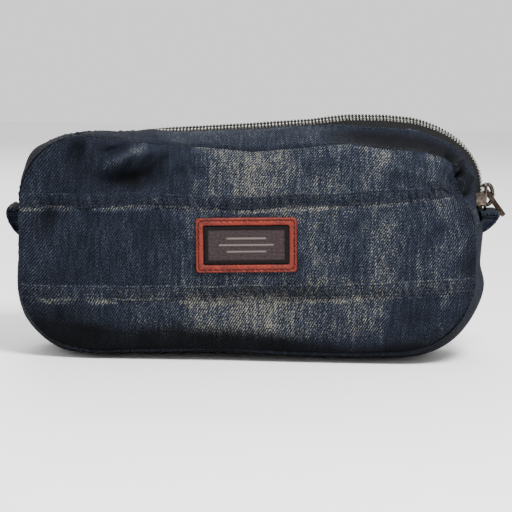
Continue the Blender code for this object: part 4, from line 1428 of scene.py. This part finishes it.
def make_tab(name, node, hand):
    """A tab of the gusset's cloth, folded double and sewn into the end of the pouch."""
    low, high = node_box(node)
    near, far = (low[0], high[0]) if hand > 0 else (high[0], low[0])
    wide = (high[1] - low[1]) / 2
    line = np.array([(near + (far - near) * share, high[2] + rise) for share, rise in TAB_OUTLINES[hand]])
    along = distances(line)
    at = np.linspace(0, along[-1], TAB_POINTS)
    fine = points_at(at, along, line)
    for _ in range(3):
        fine[1:-1] = (fine[:-2] + 2 * fine[1:-1] + fine[2:]) / 4
    ahead = np.gradient(fine, axis=0)
    ahead /= np.linalg.norm(ahead, axis=1, keepdims=True)
    inward = np.stack([ahead[:, 1], -ahead[:, 0]], 1) * hand
    y = np.linspace(-1, 1, 31)[:, None]
    wave = 0.35 * np.abs(y) ** 8 + 0.18 * noise(y * wide, at[None, :], 6, 141 + hand)

    def layer(depth, half):
        return deepened(fine[None] + inward[None] * (wave + depth)[..., None], y * half)

    outer = layer(0.0, wide)
    cloth = (y * wide, at)
    fade = 0.30 + 0.45 * bell(at, along[3], 1.6)[None, :] + 0.1 * noise(y * 30, at[None, :], 4, 143)
    piece = sheet_between(name, outer, layer(1.1, wide - 0.2), DENIM, cloth, fade)
    belongs(piece, "pouch", "denim", node)
    core = layer(1.3, wide - 0.7)
    root = core.copy()
    root[..., 0] = near - hand * 2.5
    belongs(sheet_between(name + "_fold", core, root, DENIM, cloth, 0.24, 0.1), "pouch", "denim")
    row = int(TAB_POINTS * TAB_STITCHES)
    out = np.tile((-inward[row, 0], 0, -inward[row, 1]), (len(y), 1))
    sewing = stitches(name + "_stitches", outer[:, row], out, NAVY_THREAD, length=2.0, gap=0.9)
    belongs(sewing, "pouch", "denim")


# ---- Inside: lining and bound seams ----


def lining_panel(name, node, side):
    margin = 2.6
    x, z = panel_grid(PANEL_LOW + margin, PANEL_HIGH - margin, 2.4)
    x = x * (HALF_WIDTH - SEAM_INSET - margin) / (HALF_WIDTH - SEAM_INSET)
    points = panel_points(x, z, side, 0.35 * noise(x, z, 9, 151 + side) - CLOTH - 1.9)
    belongs(sheet(name, points, LINING, LINING_CLOTH, (x, z)), "pouch", "lining", node)


def lining_strip(name, run, start_y, end_y, nodes, side=0, direction=0):
    """Lining under a run of the gusset, between two distances from the pouch's middle plane."""
    out = outward(run)
    share = np.linspace(0, 1, 15)[:, None]
    y = start_y + (end_y - start_y) * share
    fall = (np.abs(y) / SEAM_Y) ** 2
    depth = LINING_INSET + (edge_depth(BEARING[run]) if direction else 0.0 * run)
    crown = CROWN[run] - out * depth[:, None]
    end = np.where(y[..., None] < 0, SEAMS[-1][run], SEAMS[1][run]) - out * SEAM_ALLOWANCE
    plane = crown + (end - crown) * fall[..., None]
    distance = along_gusset(run)
    inward = np.clip((np.abs(y) - FOLD_Y) / (SEAM_Y - FOLD_Y), 0, 1)
    sag = np.maximum(gusset_sink(run, side, inward), 0) if direction else 0.0
    plane = plane - out[None] * (0.6 + 0.3 * noise(distance, y, 8, 155) + sag)[..., None]
    plane[..., 1] = np.maximum(plane[..., 1], 1.8)
    piece = sheet(name, deepened(plane, y), LINING, LINING_CLOTH, (distance, y))
    if direction:
        mouth_piece(piece, side, direction, "lining", *nodes)
    else:
        belongs(piece, "pouch", "lining", *nodes)


def make_lining():
    lining_panel("lining_front_cloth", "lining_front", -1)
    lining_panel("lining_back_cloth", "lining_back", 1)
    edge = SEAM_Y - SEAM_ALLOWANCE
    lining_strip("lining_base_cloth", BOTTOM_RUN, -edge, edge, ["lining_bottom"])
    for side, face, run, hand, direction in QUARTERS:
        nodes = ("lining_corner_" + face + "_" + hand, "lining_mouth_" + face)
        name = "lining_" + face + "_" + hand + "_cloth"
        lining_strip(name, run, side * LINING_EDGE, side * edge, nodes, side, direction)


def make_bindings():
    """Tape folded over the seam allowances, all the way round inside both panels."""
    turn = np.linspace(0, 2 * pi, 13)[:-1]
    for side, face in ((-1, "front"), (1, "back")):
        low, high = node_box("seam_binding_" + face)
        line = SEAMS[side] - NORMAL * BINDING_INSET
        line = np.concatenate([line, line[:1]])
        points = np.stack([line[:, 0], np.full(len(line), (low[1] + high[1]) / 2), line[:, 1]], 1)
        ahead = np.gradient(points, axis=0)
        ahead /= np.linalg.norm(ahead, axis=1, keepdims=True)
        inward = np.cross(ahead, [0, 1, 0])[:, None] * 1.7 * np.cos(turn)[:, None]
        ring = (points[:, None] + inward + np.array([0, 1, 0]) * np.sin(turn)[:, None])[:-1]
        rings, sides = ring.shape[:2]
        parts = [(ring.reshape(-1, 3), skin(rings, sides, closed=True))]
        piece = joined("binding_" + face, parts, BINDING_CLOTH)
        distance = np.repeat(np.arange(rings) * STATION_STEP, sides) * MM
        around = np.tile(turn * 1.4, rings) * MM
        add_values(piece.data, cloth=np.stack([distance, around, 0 * around], 1))
        belongs(piece, "pouch", "binding", "seam_binding_" + face)


# ---- Camera, light and floor ----

CAMERA_DISTANCE = 900.0
CAMERA_HEIGHT = 8.0  # degrees above the horizon
CAMERA_ROLL = 1.2
VIEW_WIDTH = 244.0  # what the picture spans at the pouch's middle
TARGET = Vector((1.9, 0, 45.6))
FLOOR_HALF = 1.5  # in metres, as all of the studio is


def make_camera():
    lens = bpy.data.cameras.new("camera")
    lens.sensor_width = 36.0
    lens.lens = lens.sensor_width * CAMERA_DISTANCE / VIEW_WIDTH
    lens.clip_start = 0.01
    lens.clip_end = 20.0
    camera = bpy.data.objects.new("camera", lens)
    bpy.context.scene.collection.objects.link(camera)
    angle = radians(CAMERA_HEIGHT)
    place = TARGET + Vector((0, -cos(angle), sin(angle))) * CAMERA_DISTANCE
    level = Matrix.Rotation(radians(90) - angle, 4, "X") @ Matrix.Rotation(radians(CAMERA_ROLL), 4, "Z")
    camera.matrix_world = Matrix.Translation(place * MM) @ level
    bpy.context.scene.camera = camera


def area_light(name, place, aim, size, power):
    lamp = bpy.data.lights.new(name, "AREA")
    lamp.shape = "RECTANGLE"
    lamp.size, lamp.size_y = size
    lamp.energy = power
    light = bpy.data.objects.new(name, lamp)
    light.location = place
    light.rotation_euler = (Vector(aim) - Vector(place)).to_track_quat("-Z", "Y").to_euler()
    bpy.context.scene.collection.objects.link(light)


def make_studio():
    world = bpy.data.worlds.new("studio")
    world.use_nodes = True
    background = world.node_tree.nodes["Background"]
    background.inputs["Color"].default_value = (1, 1, 1, 1)
    background.inputs["Strength"].default_value = 1.2
    bpy.context.scene.world = world
    middle = (0, 0, 0.06)
    area_light("key", (0.26, -0.50, 0.80), middle, (0.30, 0.30), 23.0)
    area_light("fill", (-0.7, -0.9, 0.5), middle, (0.6, 0.6), 2.5)
    area_light("back", (-0.2, 0.8, 0.6), middle, (0.6, 0.4), 6.0)
    mesh = bpy.data.meshes.new("floor")
    corners = [(x * FLOOR_HALF, y * FLOOR_HALF, 0) for x, y in ((-1, -1), (1, -1), (1, 1), (-1, 1))]
    mesh.from_pydata(corners, [], [(0, 1, 2, 3)])
    floor = new_object("floor", mesh, floor_paint())
    floor.location = (0, 0, -0.0003)


# ---- The scene ----

make_camera()
make_studio()
make_front()
make_back()
make_zip_gusset()
make_bottom_gusset()
make_gusset_stitches()
make_zip()
make_stops()
make_slider()
make_puller()
make_patch()
make_tab("tab_left", "end_tab_left", -1)
make_tab("tab_right", "end_tab_right", 1)
make_lining()
make_bindings()
